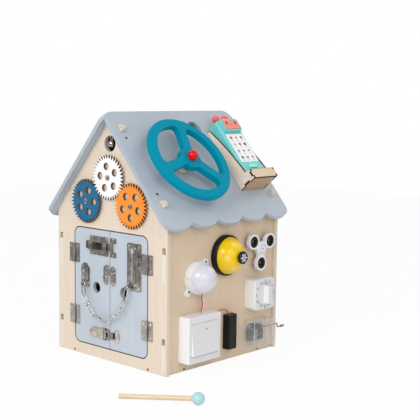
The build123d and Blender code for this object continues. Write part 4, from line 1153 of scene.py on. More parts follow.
# ------------------------------------------------------------------ the house
@dataclass
class Shell(Part):
    """Gables, side walls, floor and roof, with the screws that hold them."""

    tone: Colour = srgb(236, 220, 200)
    # Painted shade and light: the side walls' face is darker and warmer than the gables', partly its own tone
    # and partly painted shade, and their cut edges are painted lighter.
    wall_tone: Colour = srgb(226, 203, 176)
    wall_edge: Colour = srgb(244, 234, 220)
    roof_colour: Colour = srgb(178, 188, 198)
    screw_colour: Colour = srgb(92, 86, 80)
    roof_screw_s: tuple[float, float] = (61.0, 186.0)
    roof_screw_y: float = 151.0
    roof_screw_turn: float = 30.0
    gable_screw: Spot = (102.0, 4.5)
    gable_screw_turn: float = 15.0
    wall_screw: Spot = (105.0, 4.0)
    wall_screw_turn: float = 40.0

    def build(self) -> None:
        """Dresses the boards and drives the screws."""
        front = Plywood(self.tone, contrast=0.6, opening=DOORWAY)
        rear = Plywood(self.tone, contrast=0.6)
        wall = Plywood(self.wall_tone, side=Side.TO_X, contrast=0.6, edge_colour=self.wall_edge)
        floor = Plywood(self.tone, Grain.ALONG_Y, Side.TO_Z)
        roof = Paint(self.roof_colour, roughness=0.42, round_edge=1.4)
        self.dress("front_plywood", front, "front_gable")
        self.dress("rear_plywood", rear, "rear_gable")
        self.dress("wall_plywood", wall, "left_wall", "right_wall")
        self.dress("floor_plywood", floor, "floor_board")
        self.dress("roof_paint", roof, "roof_left", "roof_right")
        self.dress("gable_bolt_steel", Metal(roughness=0.2), "gable_bolts")
        self.drive_screws()

    def drive_screws(self) -> None:
        """Drives four screws into each roof panel, and one near each lower corner of the outer boards."""
        steel = Metal(self.screw_colour, roughness=0.4)
        roof = [face.matrix(s, side * self.roof_screw_y, turn=self.roof_screw_turn * side)
                for face in (ROOF, FAR_ROOF) for s in self.roof_screw_s for side in (-1, 1)]
        wide = Screw(radius=2.6, rise=0.5, recess=Recess.SLOT)
        self.screws("roof_screws", "house", wide, roof, steel)
        low = [face.matrix(side * u, v, turn=turn)
               for faces, (u, v), turn in (((FRONT, BACK), self.gable_screw, self.gable_screw_turn),
                                           ((WALL, FAR_WALL), self.wall_screw, self.wall_screw_turn))
               for face in faces for side in (-1, 1)]
        self.screws("floor_screws", "house", Screw(radius=2.2, rise=0.4), low, steel)


@dataclass
class Doors(Part):
    """The two leaves with their hinges."""

    paint: Colour = srgb(196, 205, 216)
    hinge_steel: Colour = srgb(178, 173, 167)
    pin: float = 100.125
    screw_in: float = 8.6
    screw_up: float = 12.4
    hinge_heights: tuple[float, float] = (76.0, 197.0)
    plate: float = 1.5
    frame_turn: float = 20.0
    leaf_turn: float = 50.0

    def build(self) -> None:
        """Paints the leaves, plates the hinges and drives their screws."""
        # The doorway gives the leaves a painted shadow along the gap round them.
        paint = Paint(self.paint, Grain.ALONG_Z, roughness=0.4, round_edge=0.6, opening=DOORWAY)
        self.dress("door_paint", paint, "left_door", "right_door")
        self.dress("hinge_steel", Metal(self.hinge_steel, roughness=0.3, stains=0.3),
                   "frame_hinge_leaves", "left_hinge_leaves", "right_hinge_leaves")
        head = Screw(radius=2.5)
        heights = [z + up * self.screw_up for z in self.hinge_heights for up in (-1, 1)]
        frame_side = [FRONT.matrix(side * (self.pin + self.screw_in), z, self.plate, self.frame_turn * side)
                      for side in (-1, 1) for z in heights]
        self.screws("frame_hinge_screws", "house", head, frame_side)
        for side, body in ((-1, "left_leaf"), (1, "right_leaf")):
            leaf = [FRONT.matrix(side * (self.pin - self.screw_in), z, self.plate, self.leaf_turn)
                    for z in heights]
            self.screws(f"{body}_hinge_screws", body, head, leaf)


@dataclass(frozen=True)
class ScrewRow:
    """The screws of one fitting on the doors, in millimetres and degrees."""

    name: str
    body: str
    places: tuple[Spot, ...]
    height: float = 1.2
    turn: float = 0.0
    next_turn: float = 0.0

    def matrices(self) -> list[Matrix]:
        """Returns the place of each screw."""
        return [FRONT.matrix(u, v, self.height, self.turn + self.next_turn * number)
                for number, (u, v) in enumerate(self.places)]


@dataclass
class DoorLocks(Part):
    """The top bolt, the chain, the hook and the draw latch."""

    bolt_steel: Colour = srgb(176, 170, 163)
    slide_steel: Colour = srgb(120, 112, 104)
    track_steel: Colour = srgb(178, 172, 166)
    hook_nickel: Colour = srgb(206, 200, 194)
    lever_steel: Colour = srgb(188, 178, 166)
    chain_chrome: Colour = srgb(214, 212, 208)
    head: Screw = Screw(radius=2.3)
    rows: tuple[ScrewRow, ...] = (
        ScrewRow("bolt_screws", "left_leaf", ((-50.0, 232.0), (-9.5, 232.0), (-50.0, 202.0), (-9.5, 202.0)),
                 next_turn=12.0),
        ScrewRow("keeper_screws", "right_leaf", ((9.5, 232.0), (9.5, 202.0)), next_turn=25.0),
        ScrewRow("track_screws", "right_leaf", ((52.8, 226.5), (79.2, 226.5), (79.2, 149.5), (52.8, 149.5)),
                 next_turn=33.0),
        ScrewRow("anchor_screws", "left_leaf", ((-74.5, 174.0), (-74.5, 152.0)), next_turn=40.0),
        ScrewRow("left_leaf_hook_screws", "left_leaf", ((-10.0, 178.0), (-10.0, 150.0)), height=1.4,
                 turn=15.0),
        ScrewRow("right_leaf_hook_screws", "right_leaf", ((10.0, 178.0), (10.0, 150.0)), height=1.4,
                 turn=15.0),
        ScrewRow("latch_screws", "right_leaf", ((19.5, 58.6), (19.5, 41.4)), height=0.9, turn=35.0),
    )

    def build(self) -> None:
        """Plates every lock and drives its screws."""
        sheet = Metal(self.bolt_steel, roughness=0.26, brush=Brush.ALONG_X, stains=0.6)
        slide = Metal(self.slide_steel, roughness=0.32)
        track = Metal(self.track_steel, roughness=0.24, stains=0.7)
        nickel = Metal(self.hook_nickel, roughness=0.14, stains=0.7)
        lever = Metal(self.lever_steel, roughness=0.28, brush=Brush.ALONG_X, stains=0.4)
        chrome = Metal(self.chain_chrome, roughness=0.12, brush=Brush.POLISHED, stains=0.5)
        self.dress("bolt_steel", sheet, "bolt_plate", "bolt_keeper",
                   "latch_base", "latch_loop", "latch_keeper")
        self.dress("slide_steel", slide, "bolt_slide")
        self.dress("track_steel", track, "chain_track", "chain_anchor")
        self.dress("hook_nickel", nickel, "hook_base", "hook", "hook_catch")
        self.dress("lever_steel", lever, "latch_lever")
        self.dress("chain_chrome", chrome, "chain_upper", "chain_middle", "chain_lower")
        for row in self.rows:
            self.screws(row.name, row.body, self.head, row.matrices())


@dataclass
class Gears(Part):
    """Three meshing wooden gears and the jingle bell over them."""

    paints: tuple[tuple[str, Colour], ...] = (
        ("white", srgb(250, 250, 252)), ("blue", srgb(10, 104, 148)), ("orange", srgb(255, 150, 40)))
    bell_chrome: Colour = srgb(186, 182, 176)

    def build(self) -> None:
        """Paints the gears and plates the bell."""
        for name, paint in self.paints:
            self.dress(f"{name}_gear_paint", CutPaint(paint), f"{name}_gear")
        chrome = Metal(self.bell_chrome, roughness=0.1, brush=Brush.POLISHED, stains=0.5)
        self.dress("bell_chrome", chrome, "jingle_bell")


@dataclass
class SteeringWheel(Part):
    """The wheel on the roof with its red ball and its turned spacer."""

    teal: Colour = srgb(0, 144, 172)
    red: Colour = srgb(226, 0, 10)
    beech: Colour = srgb(236, 212, 178)

    def build(self) -> None:
        """Paints the wheel and its ball, and leaves the spacer bare."""
        wheel = Plastic(self.teal, roughness=0.22, coat=0.0, texture=0.01, round_edge=1.2, gloss=0.03)
        ball = Plastic(self.red, roughness=0.14, coat=0.1, texture=0.004, gloss=0.3)
        spacer = Plywood(self.beech, Grain.ALONG_X, Side.UP_RIGHT, ply=9.0, edge_tone=1.0)
        self.dress("wheel_teal", wheel, "steering_wheel")
        self.dress("ball_red", ball, "wheel_knob")
        self.dress("spacer_beech", spacer, "wheel_standoff")


# ------------------------------------------------------------------ the phone
class Icon(Enum):
    """A plain shape printed on a key: corners, turn in degrees, width factor, height factor."""

    ROUND = (28, 0.0, 1.0, 1.0)
    OVAL = (28, 0.0, 1.15, 0.7)
    TRIANGLE = (3, 90.0, 1.1, 1.1)
    SQUARE = (4, 45.0, 1.0, 1.0)
    DIAMOND = (4, 0.0, 0.85, 1.15)
    PENTAGON = (5, 90.0, 1.05, 1.05)
    HEXAGON = (6, 0.0, 1.0, 1.0)
    DROP = (3, 270.0, 0.9, 1.2)


@dataclass
class Phone(Part):
    """The toy phone: its prints lie in millimetres down the roof's slope and across it."""

    mint: Colour = srgb(116, 212, 208)
    coral: Colour = srgb(244, 134, 110)
    ears: Colour = srgb(255, 100, 98)
    ears_end: float = 44.0
    face_start: float = 50.0
    middle_y: float = 105.5
    upright: float = 90.0
    ink_sink: float = 0.02
    key_rows: tuple[float, ...] = (91.0, 107.0, 123.0, 139.0)
    key_columns: tuple[float, ...] = (-15.0, 0.0, 15.0)
    icon: float = 3.7
    icon_thick: float = 0.12
    bar: float = 3.6
    bar_thick: float = 0.1
    bar_shape: Spot = (1.0, 0.13)
    bar_drop: float = 6.6
    bar_ink: Colour = srgb(150, 152, 164)
    inks: tuple[Colour, ...] = (srgb(214, 60, 56), srgb(60, 66, 92), srgb(236, 120, 60), srgb(98, 168, 92),
                                srgb(140, 88, 150))
    keypad_white: Colour = srgb(246, 246, 246)
    button_light: float = 1.35
    face_ink: Colour = srgb(48, 36, 44)
    face_thick: float = 0.15
    eye: float = 4.2
    eye_shape: Spot = (0.62, 1.0)
    eye_place: Spot = (60.0, 12.5)
    smile: tuple[float, float] = (3.2, 2.5)
    smile_row: float = 61.0
    smile_cut: tuple[tuple[float, ...], tuple[float, ...]] = ((12.0, 9.6, 4.0), (0.0, 4.0, 0.0))

    def build(self) -> None:
        """Dresses the phone and prints its keys and face."""
        # Painted light: the button is made lighter than the body, so that it stands out from the shadow round
        # it.
        button = Plastic(shaded(self.mint, self.button_light), roughness=0.24, coat=0.4)
        head = TwoTone(self.ears, self.coral, RIDGE, self.ears_end, tuple(DOWN))
        self.dress("phone_mint", Plastic(self.mint, roughness=0.28, coat=0.3), "phone_body")
        self.dress("button_mint", button, "phone_button")
        self.dress("phone_coral", head, "phone_face")
        self.dress("keypad_white", Plastic(self.keypad_white, roughness=0.35, coat=0.2), "phone_keypad")
        self.print_keys()
        self.print_face()

    def highest(self, node: str, from_s: float = 0.0) -> float:
        """Finds how high over the roof a node reaches.

        Args:
            node: The CAD node.
            from_s: Only what lies at least this far down the slope counts.

        Returns:
            The height in millimetres.
        """
        points = [vertex.co - RIDGE for vertex in self.nodes[node].data.vertices]
        return max(p.dot(NORMAL) for p in points if p.dot(DOWN) / MM >= from_s) / MM

    def stamp(self, shape: bpy.types.Object, name: str, spot: Sequence[float], slot: str,
              ink: bpy.types.Material) -> None:
        """Lays a print on the phone.

        Args:
            shape: The print, round its own origin.
            name: Its name.
            spot: Millimetres down the slope, across from the phone's middle, and over the roof.
            slot: The record's material slot it belongs to.
            ink: What it wears.
        """
        down, across, height = spot
        place = ROOF.matrix(down, self.middle_y + across, height - self.ink_sink, self.upright)
        self.add(Bench.place(shape, name, place), "phone", slot, ink)

    def print_keys(self) -> None:
        """Prints twelve plain shapes, each with a small bar under it."""
        height = self.highest("phone_keypad")
        inks = [Ink(ink).make(f"key_ink_{number}") for number, ink in enumerate(self.inks)]
        bar_ink = Ink(self.bar_ink).make("key_bar_ink")
        shapes = list(Icon)
        places = [(row, s, y) for row, s in enumerate(self.key_rows) for y in self.key_columns]
        for number, (row, s, y) in enumerate(places):
            corners, turn, *shape = shapes[(3 * number + row) % len(shapes)].value
            icon = Bench.plate(self.icon, corners, self.icon_thick, turn, shape)
            self.stamp(icon, f"key_print_{number}", (s, y, height), "white_plastic",
                       inks[(number * 2 + row) % len(inks)])
            bar = Bench.plate(self.bar, corners=16, thick=self.bar_thick, stretch=self.bar_shape)
            self.stamp(bar, f"key_bar_{number}", (s + self.bar_drop, y, height), "white_plastic", bar_ink)

    def print_face(self) -> None:
        """Prints two plain eyes and a small smile."""
        dark = Ink(self.face_ink, roughness=0.3, coat=0.2).make("face_ink")
        height = self.highest("phone_face", self.face_start)
        s, y = self.eye_place
        for name, side in (("left", -1), ("right", 1)):
            eye = Bench.plate(self.eye, corners=32, thick=self.face_thick, stretch=self.eye_shape)
            self.stamp(eye, f"phone_eye_{name}", (s, side * y, height), "coral", dark)
        smile = Bench.ring(*self.smile, self.face_thick)
        Bench.cut(smile, Bench.block(*self.smile_cut))
        self.stamp(smile, "phone_smile", (self.smile_row, 0.0, height), "coral", dark)


@dataclass
class Cradle(Part):
    """The phone's holder: five small laser-cut boards with burnt finger joints."""

    scorch: Colour = srgb(60, 34, 22)
    # Painted light and shade: one plywood in three tones by the way each board looks, lightest on the cheeks
    # and darkest on the end board that faces downwards.
    cheek_tone: Colour = srgb(246, 228, 208)
    lip_tone: Colour = srgb(226, 202, 172)
    end_tone: Colour = srgb(196, 158, 122)
    burnt_rim: float = 1.5
    weld: float = 0.01

    def boards(self) -> list[bpy.types.Object]:
        """Splits a copy of the CAD node into its boards.

        Returns:
            The boards, ordered by their lowest corner.
        """
        copy = Bench.duplicate(self.nodes["phone_cradle"], "cradle_boards")
        Bench.hold(copy)
        bpy.ops.object.mode_set(mode="EDIT")
        bpy.ops.mesh.select_all(action="SELECT")
        bpy.ops.mesh.remove_doubles(threshold=self.weld * MM)
        bpy.ops.mesh.separate(type="LOOSE")
        Bench.leave()
        split = [piece for piece in bpy.context.scene.objects if piece.name.startswith("cradle_boards")]
        return sorted(split, key=lambda piece: tuple(piece.bound_box[0]))

    def build(self) -> None:
        """Gives the boards their faces and their scorched edges; the face tones are lit and shaded copies of
        one plywood, by the way each board looks.
        """
        charcoal = Plastic(self.scorch, roughness=0.8, coat=0.0, texture=0.08, round_edge=0.2)
        burnt = charcoal.make("cradle_scorch")
        # Painted light and shade: each way a board looks gets its own lit or shaded tone.
        sides = {Side.TO_Y: (Grain.ALONG_X, self.cheek_tone), Side.UP_RIGHT: (Grain.ALONG_Y, self.lip_tone),
                 Side.DOWN_RIGHT: (Grain.ALONG_Y, self.end_tone)}
        boards = {side: Plywood(tone, grain, side, burnt_rim=self.burnt_rim)
                  for side, (grain, tone) in sides.items()}
        plywood = {side: board.make(f"cradle_{side.name.lower()}") for side, board in boards.items()}
        for number, board in enumerate(self.boards()):
            faces = board.data.polygons
            areas = {side: sum(face.area for face in faces if faces_along(face, side.value))
                     for side in sides}
            broad = max(areas, key=lambda side: areas[side])
            board.name = f"cradle_board_{number}"
            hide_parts("phone_cradle")
            self.add(board, "house", "plywood", plywood[broad])
            board.data.materials.append(burnt)
            for face in faces:
                face.material_index = 0 if faces_along(face, broad.value) else 1


# ------------------------------------------------------------------ the toys on the wall
@dataclass
class WallToy(Part):
    """A toy on the right wall. Its places are millimetres along the wall and up."""

    def front(self, node: str) -> float:
        """Returns how far a node stands out from the wall, in millimetres."""
        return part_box(node)[1].x / MM - SIZES.wall

    def height_at(self, node: str, u: float, v: float, reach: float = 7.5, skin: float = 0.5) -> float:
        """Finds how high over the wall a node stands near a place.

        Args:
            node: The CAD node.
            u: Millimetres along the wall.
            v: Millimetres up.
            reach: How near a point has to be.
            skin: Points nearer than this to the wall are the node's back.

        Returns:
            The height in millimetres of its lowest upper point there.
        """
        spot = Vector((0, u * MM, v * MM))
        back = (SIZES.wall + skin) * MM
        near = [p.co.x for p in self.nodes[node].data.vertices
                if (Vector((0, p.co.y, p.co.z)) - spot).length < reach * MM and p.co.x > back]
        return (min(near) / MM - SIZES.wall) if near else 0.0


@dataclass
class DeskBell(WallToy):
    """The yellow bell with its black foot and button."""

    middle: Spot = (3.0, 203.0)
    yellow: Colour = srgb(246, 204, 0)
    pale_ink: Colour = srgb(250, 240, 170)
    black: Colour = srgb(20, 21, 22)
    grey_ink: Colour = srgb(214, 222, 228)

    def build(self) -> None:
        """Enamels the dome and the button with their rosettes."""
        centre = WALL.point(*self.middle)
        dome = PrintedEnamel(self.yellow, self.pale_ink, centre, prints=5, ring=25.0, size=6.0, petals=5,
                             strength=0.5)
        button = PrintedEnamel(self.black, self.grey_ink, centre, prints=1, ring=0.0, size=9.5, petals=6,
                               strength=1.0, roughness=0.35, coat=0.05)
        self.dress("bell_yellow", dome, "desk_bell_dome")
        self.dress("bell_button_black", button, "desk_bell_button")
        self.dress("bell_base_black", BLACK_PLASTIC, "desk_bell_base")


@dataclass
class MusicBox(WallToy):
    """The hand-cranked movement under its clear cover."""

    zinc: Colour = srgb(132, 137, 146)
    wire: Colour = srgb(140, 128, 116)

    def build(self) -> None:
        """Dresses the cover and what shows through it."""
        self.dress("case_clear", ClearPlastic(), "music_case")
        movement = Metal(self.zinc, roughness=0.24, brush=Brush.POLISHED, stains=0.6)
        self.dress("movement_zinc", movement, "music_movement")
        self.dress("drum_brass", PinnedDrum(), "music_cylinder")
        self.dress("crank_wire", Metal(self.wire, roughness=0.25), "music_crank")


@dataclass
class Timer(WallToy):
    """The kitchen timer with its printed minutes."""

    middle: Spot = (93.75, 119.5)
    # Painted light and shade: the front is a darker, shaded copy of the white, and the sides that face the
    # front are a lighter, lit copy.
    white: Colour = srgb(224, 226, 231)
    side_white: Colour = srgb(254, 255, 255)
    number_ink: Colour = srgb(58, 60, 66)
    mark_ink: Colour = srgb(206, 36, 40)
    ring_ink: Colour = srgb(146, 149, 158)
    numbers: int = 12
    minutes_each: int = 5
    number_ring: float = 26.3
    number_size: float = 4.2
    number_width: float = 0.72
    number_weight: float = 0.16
    number_relief: float = 0.06
    number_lift: float = 0.05
    dial_ring: tuple[float, float] = (23.3, 22.7)
    print_thick: float = 0.12
    mark: float = 2.7
    mark_shape: Spot = (0.9, 1.1)
    mark_up: float = 20.6
    dial_spot: tuple[float, float] = (17.0, 6.0)

    def build(self) -> None:
        """Dresses the timer and prints its numbers, its ring and its mark."""
        white = Plastic(self.white, roughness=0.28, coat=0.3, texture=0.01, round_edge=0.8,
                        side_colour=self.side_white)
        self.dress("timer_white", white, "timer_case", "timer_dial")
        self.print_numbers()
        self.print_dial()

    def print_numbers(self) -> None:
        """Prints the minutes round the dial, clockwise from the top."""
        ink = Ink(self.number_ink).make("timer_ink")
        u, v = self.middle
        height = self.front("timer_case") + self.number_lift
        for step in range(self.numbers):
            angle = math.radians(90 - 360 / self.numbers * step)
            Bench.clear()
            bpy.ops.object.text_add()
            text = bpy.context.object
            minutes = self.minutes_each * step
            text.data.body = str(minutes)
            text.data.size = self.number_size * MM
            text.data.offset = self.number_weight * MM
            text.data.extrude = self.number_relief * MM
            text.data.align_x, text.data.align_y = "CENTER", "CENTER"
            bpy.ops.object.convert(target="MESH")
            number = bpy.context.object
            number.scale.x = self.number_width
            across, up = self.number_ring * math.cos(angle), self.number_ring * math.sin(angle)
            Bench.place(number, f"timer_number_{minutes}", WALL.matrix(u + across, v + up, height))
            self.add(number, "house", "white_plastic", ink)

    def print_dial(self) -> None:
        """Prints a fine ring and a red mark on the dial."""
        u, v = self.middle
        up, reach = self.dial_spot
        height = self.height_at("timer_dial", u, v + up, reach)
        ring = Bench.ring(*self.dial_ring, self.print_thick, sides=96)
        Bench.place(ring, "timer_ring", WALL.matrix(u, v, height))
        self.add(ring, "dial", "white_plastic", Ink(self.ring_ink).make("timer_ring_ink"))
        red = Ink(self.mark_ink, roughness=0.35, coat=0.2)
        mark = Bench.plate(self.mark, 3, self.print_thick, turn=90.0, stretch=self.mark_shape)
        Bench.place(mark, "timer_mark", WALL.matrix(u, v + self.mark_up, height))
        self.add(mark, "dial", "white_plastic", red.make("timer_red"))


@dataclass
class WallSwitch(WallToy):
    """The big wall switch with the small bar on its rocker."""

    # Painted light: the sides that face the front take a lighter, lit copy of the white.
    white: Colour = srgb(227, 228, 230)
    side_white: Colour = srgb(250, 252, 255)
    bar_ink: Colour = srgb(120, 146, 180)
    bar_place: Spot = (-78.5, 80.5)
    bar: float = 4.2
    bar_thick: float = 0.1
    bar_shape: Spot = (1.0, 0.2)
    rocker_rise: float = 20.0

    def build(self) -> None:
        """Dresses the switch and prints the bar on the slope of the rocker."""
        white = Plastic(self.white, roughness=0.32, coat=0.2, texture=0.02, round_edge=1.0,
                        side_colour=self.side_white)
        self.dress("switch_white", white, "switch_box", "switch_rocker")
        u, v = self.bar_place
        points = [p.co for p in self.nodes["switch_rocker"].data.vertices]
        near = [p for p in points if p.x > (SIZES.wall + self.rocker_rise) * MM]
        high, low = max(near, key=lambda p: p.z), min(near, key=lambda p: p.z)
        slope = (high.x - low.x) / (high.z - low.z)
        height = (max(p.x - p.z * slope for p in near) + v * MM * slope) / MM - SIZES.wall
        bar = Bench.plate(self.bar, corners=24, thick=self.bar_thick, stretch=self.bar_shape)
        tilt = Matrix.Rotation(-math.atan(slope), 4, "X")
        Bench.place(bar, "switch_mark", WALL.matrix(u, v, height) @ tilt)
        self.add(bar, "rocker", "white_plastic", Plastic(self.bar_ink, roughness=0.4).make("switch_ink"))


@dataclass
class Spinner(WallToy):
    """The three-armed spinner with its black weights."""

    middle: Spot = (96.0, 206.5)
    white: Colour = srgb(236, 236, 242)
    black: Colour = srgb(20, 20, 22)
    ink: Colour = srgb(120, 122, 130)
    cap_ring: tuple[float, float] = (8.6, 7.9)
    mark: float = 2.6
    print_thick: float = 0.1

    def build(self) -> None:
        """Dresses the spinner, and prints a fine ring and a plain triangle on its cap."""
        body = Plastic(self.white, roughness=0.25, coat=0.4, texture=0.006)
        weight = Plastic(self.black, coat=0.15, texture=0.01, round_edge=0.3, gloss=0.3)
        self.dress("spinner_white", body, "spinner_body", "spinner_cap")
        self.dress("weight_black", weight, "spinner_weights")
        ink = Ink(self.ink).make("spinner_ink")
        place = WALL.matrix(*self.middle, self.front("spinner_cap"))
        ring = Bench.ring(*self.cap_ring, self.print_thick, sides=64)
        mark = Bench.plate(self.mark, 3, self.print_thick, turn=90.0)
        for name, shape in (("spinner_ring", ring), ("spinner_mark", mark)):
            self.add(Bench.place(shape, name, place), "house", "white_plastic", ink)


@dataclass
class PushLamp(WallToy):
    """The round lamp with its milky dome and the two screws in its ears."""

    white: Colour = srgb(238, 240, 244)
    milk: Colour = srgb(222, 219, 233)
    screw_steel: Colour = srgb(120, 116, 112)
    screw_places: tuple[Spot, ...] = ((-51.8, 196.5), (-97.0, 146.0))
    screw_turn: float = 20.0

    def build(self) -> None:
        """Dresses the lamp and drives its screws."""
        foot = Plastic(self.white, roughness=0.35, coat=0.2, texture=0.02, round_edge=0.6)
        dome = Plastic(self.milk, roughness=0.14, coat=0.5, texture=0.004, round_edge=0.0, glow=0.25)
        self.dress("lamp_base_white", foot, "lamp_base")
        self.dress("lamp_milky", dome, "lamp_dome")
        places = [WALL.matrix(u, v, self.height_at("lamp_base", u, v), self.screw_turn)
                  for u, v in self.screw_places]
        self.screws("lamp_screws", "house", Screw(), places, Metal(self.screw_steel, roughness=0.3))


@dataclass
class Leads(WallToy):
    """The battery box, and the thin leads between the lamp, the switch and the box."""

    red: Colour = srgb(206, 84, 66)
    white: Colour = srgb(240, 238, 234)
    lead: float = 2.2
    lead_rise: float = 8.0
    lead_spread: float = 3.0
    curve_share: float = 0.985
    lamp_route: tuple[Spot, ...] = ((-66.8, 140.58), (-69.1, 130.38), (-64.0, 117.5), (-69.0, 105.3))
    battery_route: tuple[Spot, ...] = ((-33.2, 99.5), (-16.0, 101.0), (-2.1, 101.5), (5.9, 95.5), (8.4, 89.8))

    def build(self) -> None:
        """Runs a red and a white lead from the lamp to the switch, and a red one to the battery box."""
        self.dress("battery_black", BLACK_PLASTIC, "battery_box")
        beside = tuple((y + self.lead_spread, z) for y, z in self.lamp_route)
        self.run("lamp_lead_red", self.lamp_route, "lamp_wires", self.red)
        self.run("lamp_lead_white", beside, "lamp_wires", self.white)
        self.run("battery_lead", self.battery_route, "battery_wire", self.red)

    def run(self, name: str, route: Sequence[Spot], node: str, colour: Colour) -> None:
        """Runs one lead along the wall.

        Args:
            name: The lead's name.
            route: The control points of its line, from its exit.
            node: The CAD node that it stands for.
            colour: The colour of its sleeve.
        """
        points = [WALL.point(u, v, self.lead_rise) for u, v in route]
        curve = bpy.data.curves.new(name, "CURVE")
        curve.dimensions = "3D"
        curve.bevel_depth = self.lead / 2 * MM
        curve.bevel_resolution = 4
        curve.resolution_u = 12
        curve.use_fill_caps = True
        spline = curve.splines.new("NURBS")
        spline.points.add(len(points) - 1)
        for target, point in zip(spline.points, points):
            target.co = (*point, 1.0)
        spline.order_u = 3
        spline.use_endpoint_u = True
        lead = bpy.data.objects.new(name, curve)
        bpy.context.scene.collection.objects.link(lead)
        sleeve = Plastic(colour, roughness=0.45, coat=0.15, texture=0.02, round_edge=0.0)
        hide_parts(node)
        self.add(lead, "house", "wire_red", sleeve.make(name))


@dataclass
class Mallet(Part):
    """The mallet that lies before the house."""

    blue: Colour = srgb(178, 216, 226)
    birch: Colour = srgb(232, 206, 170)
    ball: tuple[float, float, float] = (296.4, -230.3, 11.0)
    ball_reach: float = 11.2

    def build(self) -> None:
        """Paints the ball and leaves the stick bare."""
        centre = Vector(self.ball) * MM
        wood = TwoTone(self.blue, self.birch, centre, self.ball_reach, wood=True)
        self.dress("mallet_wood", wood, "mallet")


# ------------------------------------------------------------------ studio
@dataclass(frozen=True)
class SoftLight:
    """A soft square studio lamp: its power in watts, its size and place in metres."""

    name: str
    power: float
    size: float
    place: tuple[float, float, float]


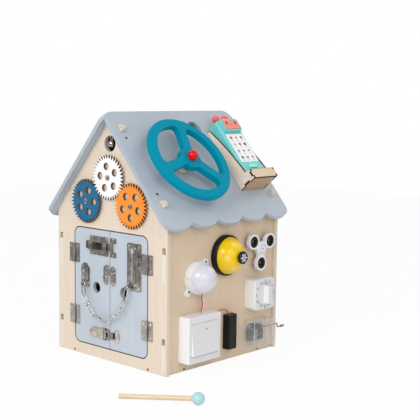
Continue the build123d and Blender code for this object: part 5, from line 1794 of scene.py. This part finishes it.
@dataclass(frozen=True)
class Studio:
    """A white sweep with soft light from the front left and above."""

    ambient: float = 0.70
    dark_room: float = 0.3
    bright_room: float = 1.25
    room_scale: float = 1.9
    room_step: tuple[float, float] = (0.46, 0.56)
    floor_size: float = 6.0
    floor_drop: float = 0.2
    floor_glow: float = 0.94
    floor_tones: tuple[float, float] = (0.86, 0.88)
    floor_fade: tuple[float, float] = (1.0, 0.45)
    aim: tuple[float, float, float] = (0.0, 0.0, 0.22)
    lamps: tuple[SoftLight, ...] = (
        SoftLight("key_light", 22.5, 1.2, (0.5, -2.4, 1.7)),
        SoftLight("side_light", 6.5, 1.2, (2.4, -0.7, 1.5)),
        SoftLight("glint_left", 1.5, 0.09, (0.9, -1.6, 1.3)),
        SoftLight("glint_right", 1.5, 0.09, (1.7, -0.9, 1.2)),
    )

    def world(self) -> None:
        """Makes the white surroundings: dimmer as a light, and bright and dark where they are mirrored."""
        world = bpy.data.worlds.new("studio_white")
        world.use_nodes = True
        bpy.context.scene.world = world
        room = Graph(world.node_tree)
        low, high = self.room_step
        walls = room.node("TexNoise", Vector=room.node("TexCoord", out="Generated"), Scale=self.room_scale,
                          Detail=1.0)
        mirrored = room.node("MapRange", Value=walls, From_Min=low, From_Max=high, To_Min=self.dark_room,
                             To_Max=self.bright_room)
        is_mirrored = room.node("LightPath", out="Is Glossy Ray")
        is_seen = room.node("LightPath", out="Is Camera Ray")
        cast = room.node("Mix", out="Result", Factor=is_mirrored, A=self.ambient, B=mirrored)
        back = world.node_tree.nodes["Background"]
        room.give(back.inputs["Color"], (1, 1, 1))
        room.give(back.inputs["Strength"], room.node("Mix", out="Result", Factor=is_seen, A=cast, B=1.0))

    def floor(self) -> None:
        """Lays a pale floor that takes a soft shadow, and that is dark where it is mirrored far away."""
        Bench.clear()
        bpy.ops.mesh.primitive_plane_add(size=self.floor_size, location=metres(0, 0, -self.floor_drop))
        floor = bpy.context.object
        floor.name = "studio_floor"
        mix = Mixer("floor_white")
        seen = mix.node("LightPath", out="Is Camera Ray")
        mirrored = mix.node("LightPath", out="Is Glossy Ray")
        paper = mix.noise(mix.place(), scale=300, detail=2)
        dark, light = ((tone,) * 3 for tone in self.floor_tones)
        mix.finish(mix.blend(paper, dark, light), roughness=0.9, bump=paper, depth=0.02)
        away = mix.vector("LENGTH", mix.place(), out=1)
        near = mix.step(away, *self.floor_fade) * (1.0 - self.dark_room) + self.dark_room
        glow = mix.node("Emission", Color=(1, 1, 1), Strength=mirrored * (near - 1.0) + 1.0)
        share = mix.math("MAXIMUM", seen * self.floor_glow, mirrored)
        mix.show(mix.node("MixShader", n0=share, n1=mix.surface(), n2=glow))
        floor.data.materials.append(mix.material)

    def hang_lamps(self) -> None:
        """Hangs two large soft lamps and two small ones that give the highlights."""
        for lamp in self.lamps:
            light = bpy.data.lights.new(lamp.name, "AREA")
            light.energy, light.size = lamp.power, lamp.size
            hung = bpy.data.objects.new(lamp.name, light)
            bpy.context.scene.collection.objects.link(hung)
            hung.location = lamp.place
            ahead = Vector(self.aim) - hung.location
            hung.rotation_euler = ahead.to_track_quat("-Z", "Y").to_euler()

    def build(self) -> None:
        """Sets the whole studio up."""
        self.world()
        self.floor()
        self.hang_lamps()
        bpy.context.scene.view_settings.view_transform = "Standard"


@dataclass(frozen=True)
class Camera:
    """The camera that looks at the doors and the toy wall from the corner: millimetres and degrees."""

    place: tuple[float, float, float] = (1331.97, -1360.19, 501.34)
    azimuth: float = 43.903
    pitch: float = 7.645
    roll: float = 0.508
    lens: float = 83.56
    sensor: float = 36.0
    shift: tuple[float, float] = (0.0789, 0.0353)
    sight: float = 20.0

    def build(self) -> None:
        """Places the camera and makes it the scene's."""
        a, e, r = (math.radians(value) for value in (self.azimuth, self.pitch, self.roll))
        ahead = Vector((-math.sin(a) * math.cos(e), math.cos(a) * math.cos(e), -math.sin(e)))
        level = Vector((math.cos(a), math.sin(a), 0))
        up = level.cross(ahead)
        right = level * math.cos(r) + up * math.sin(r)
        top = up * math.cos(r) - level * math.sin(r)
        data = bpy.data.cameras.new("corner_camera")
        data.lens, data.sensor_width = self.lens, self.sensor
        data.shift_x, data.shift_y = self.shift
        data.clip_end = self.sight
        camera = bpy.data.objects.new("corner_camera", data)
        bpy.context.scene.collection.objects.link(camera)
        turned = Matrix((right, top, -ahead)).transposed().to_4x4()
        camera.matrix_world = Matrix.Translation(Vector(self.place) * MM) @ turned
        bpy.context.scene.camera = camera


def main() -> None:
    """Builds every part of the scene in order."""
    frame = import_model()
    for kind in (Shell, Doors, DoorLocks, Gears, SteeringWheel, Phone, Cradle, DeskBell, MusicBox, Timer,
                 WallSwitch, Spinner, PushLamp, Leads, Mallet):
        part = kind(frame)
        part.build()
        part.report()
    Studio().build()
    Camera().build()


if __name__ == "__main__":
    main()
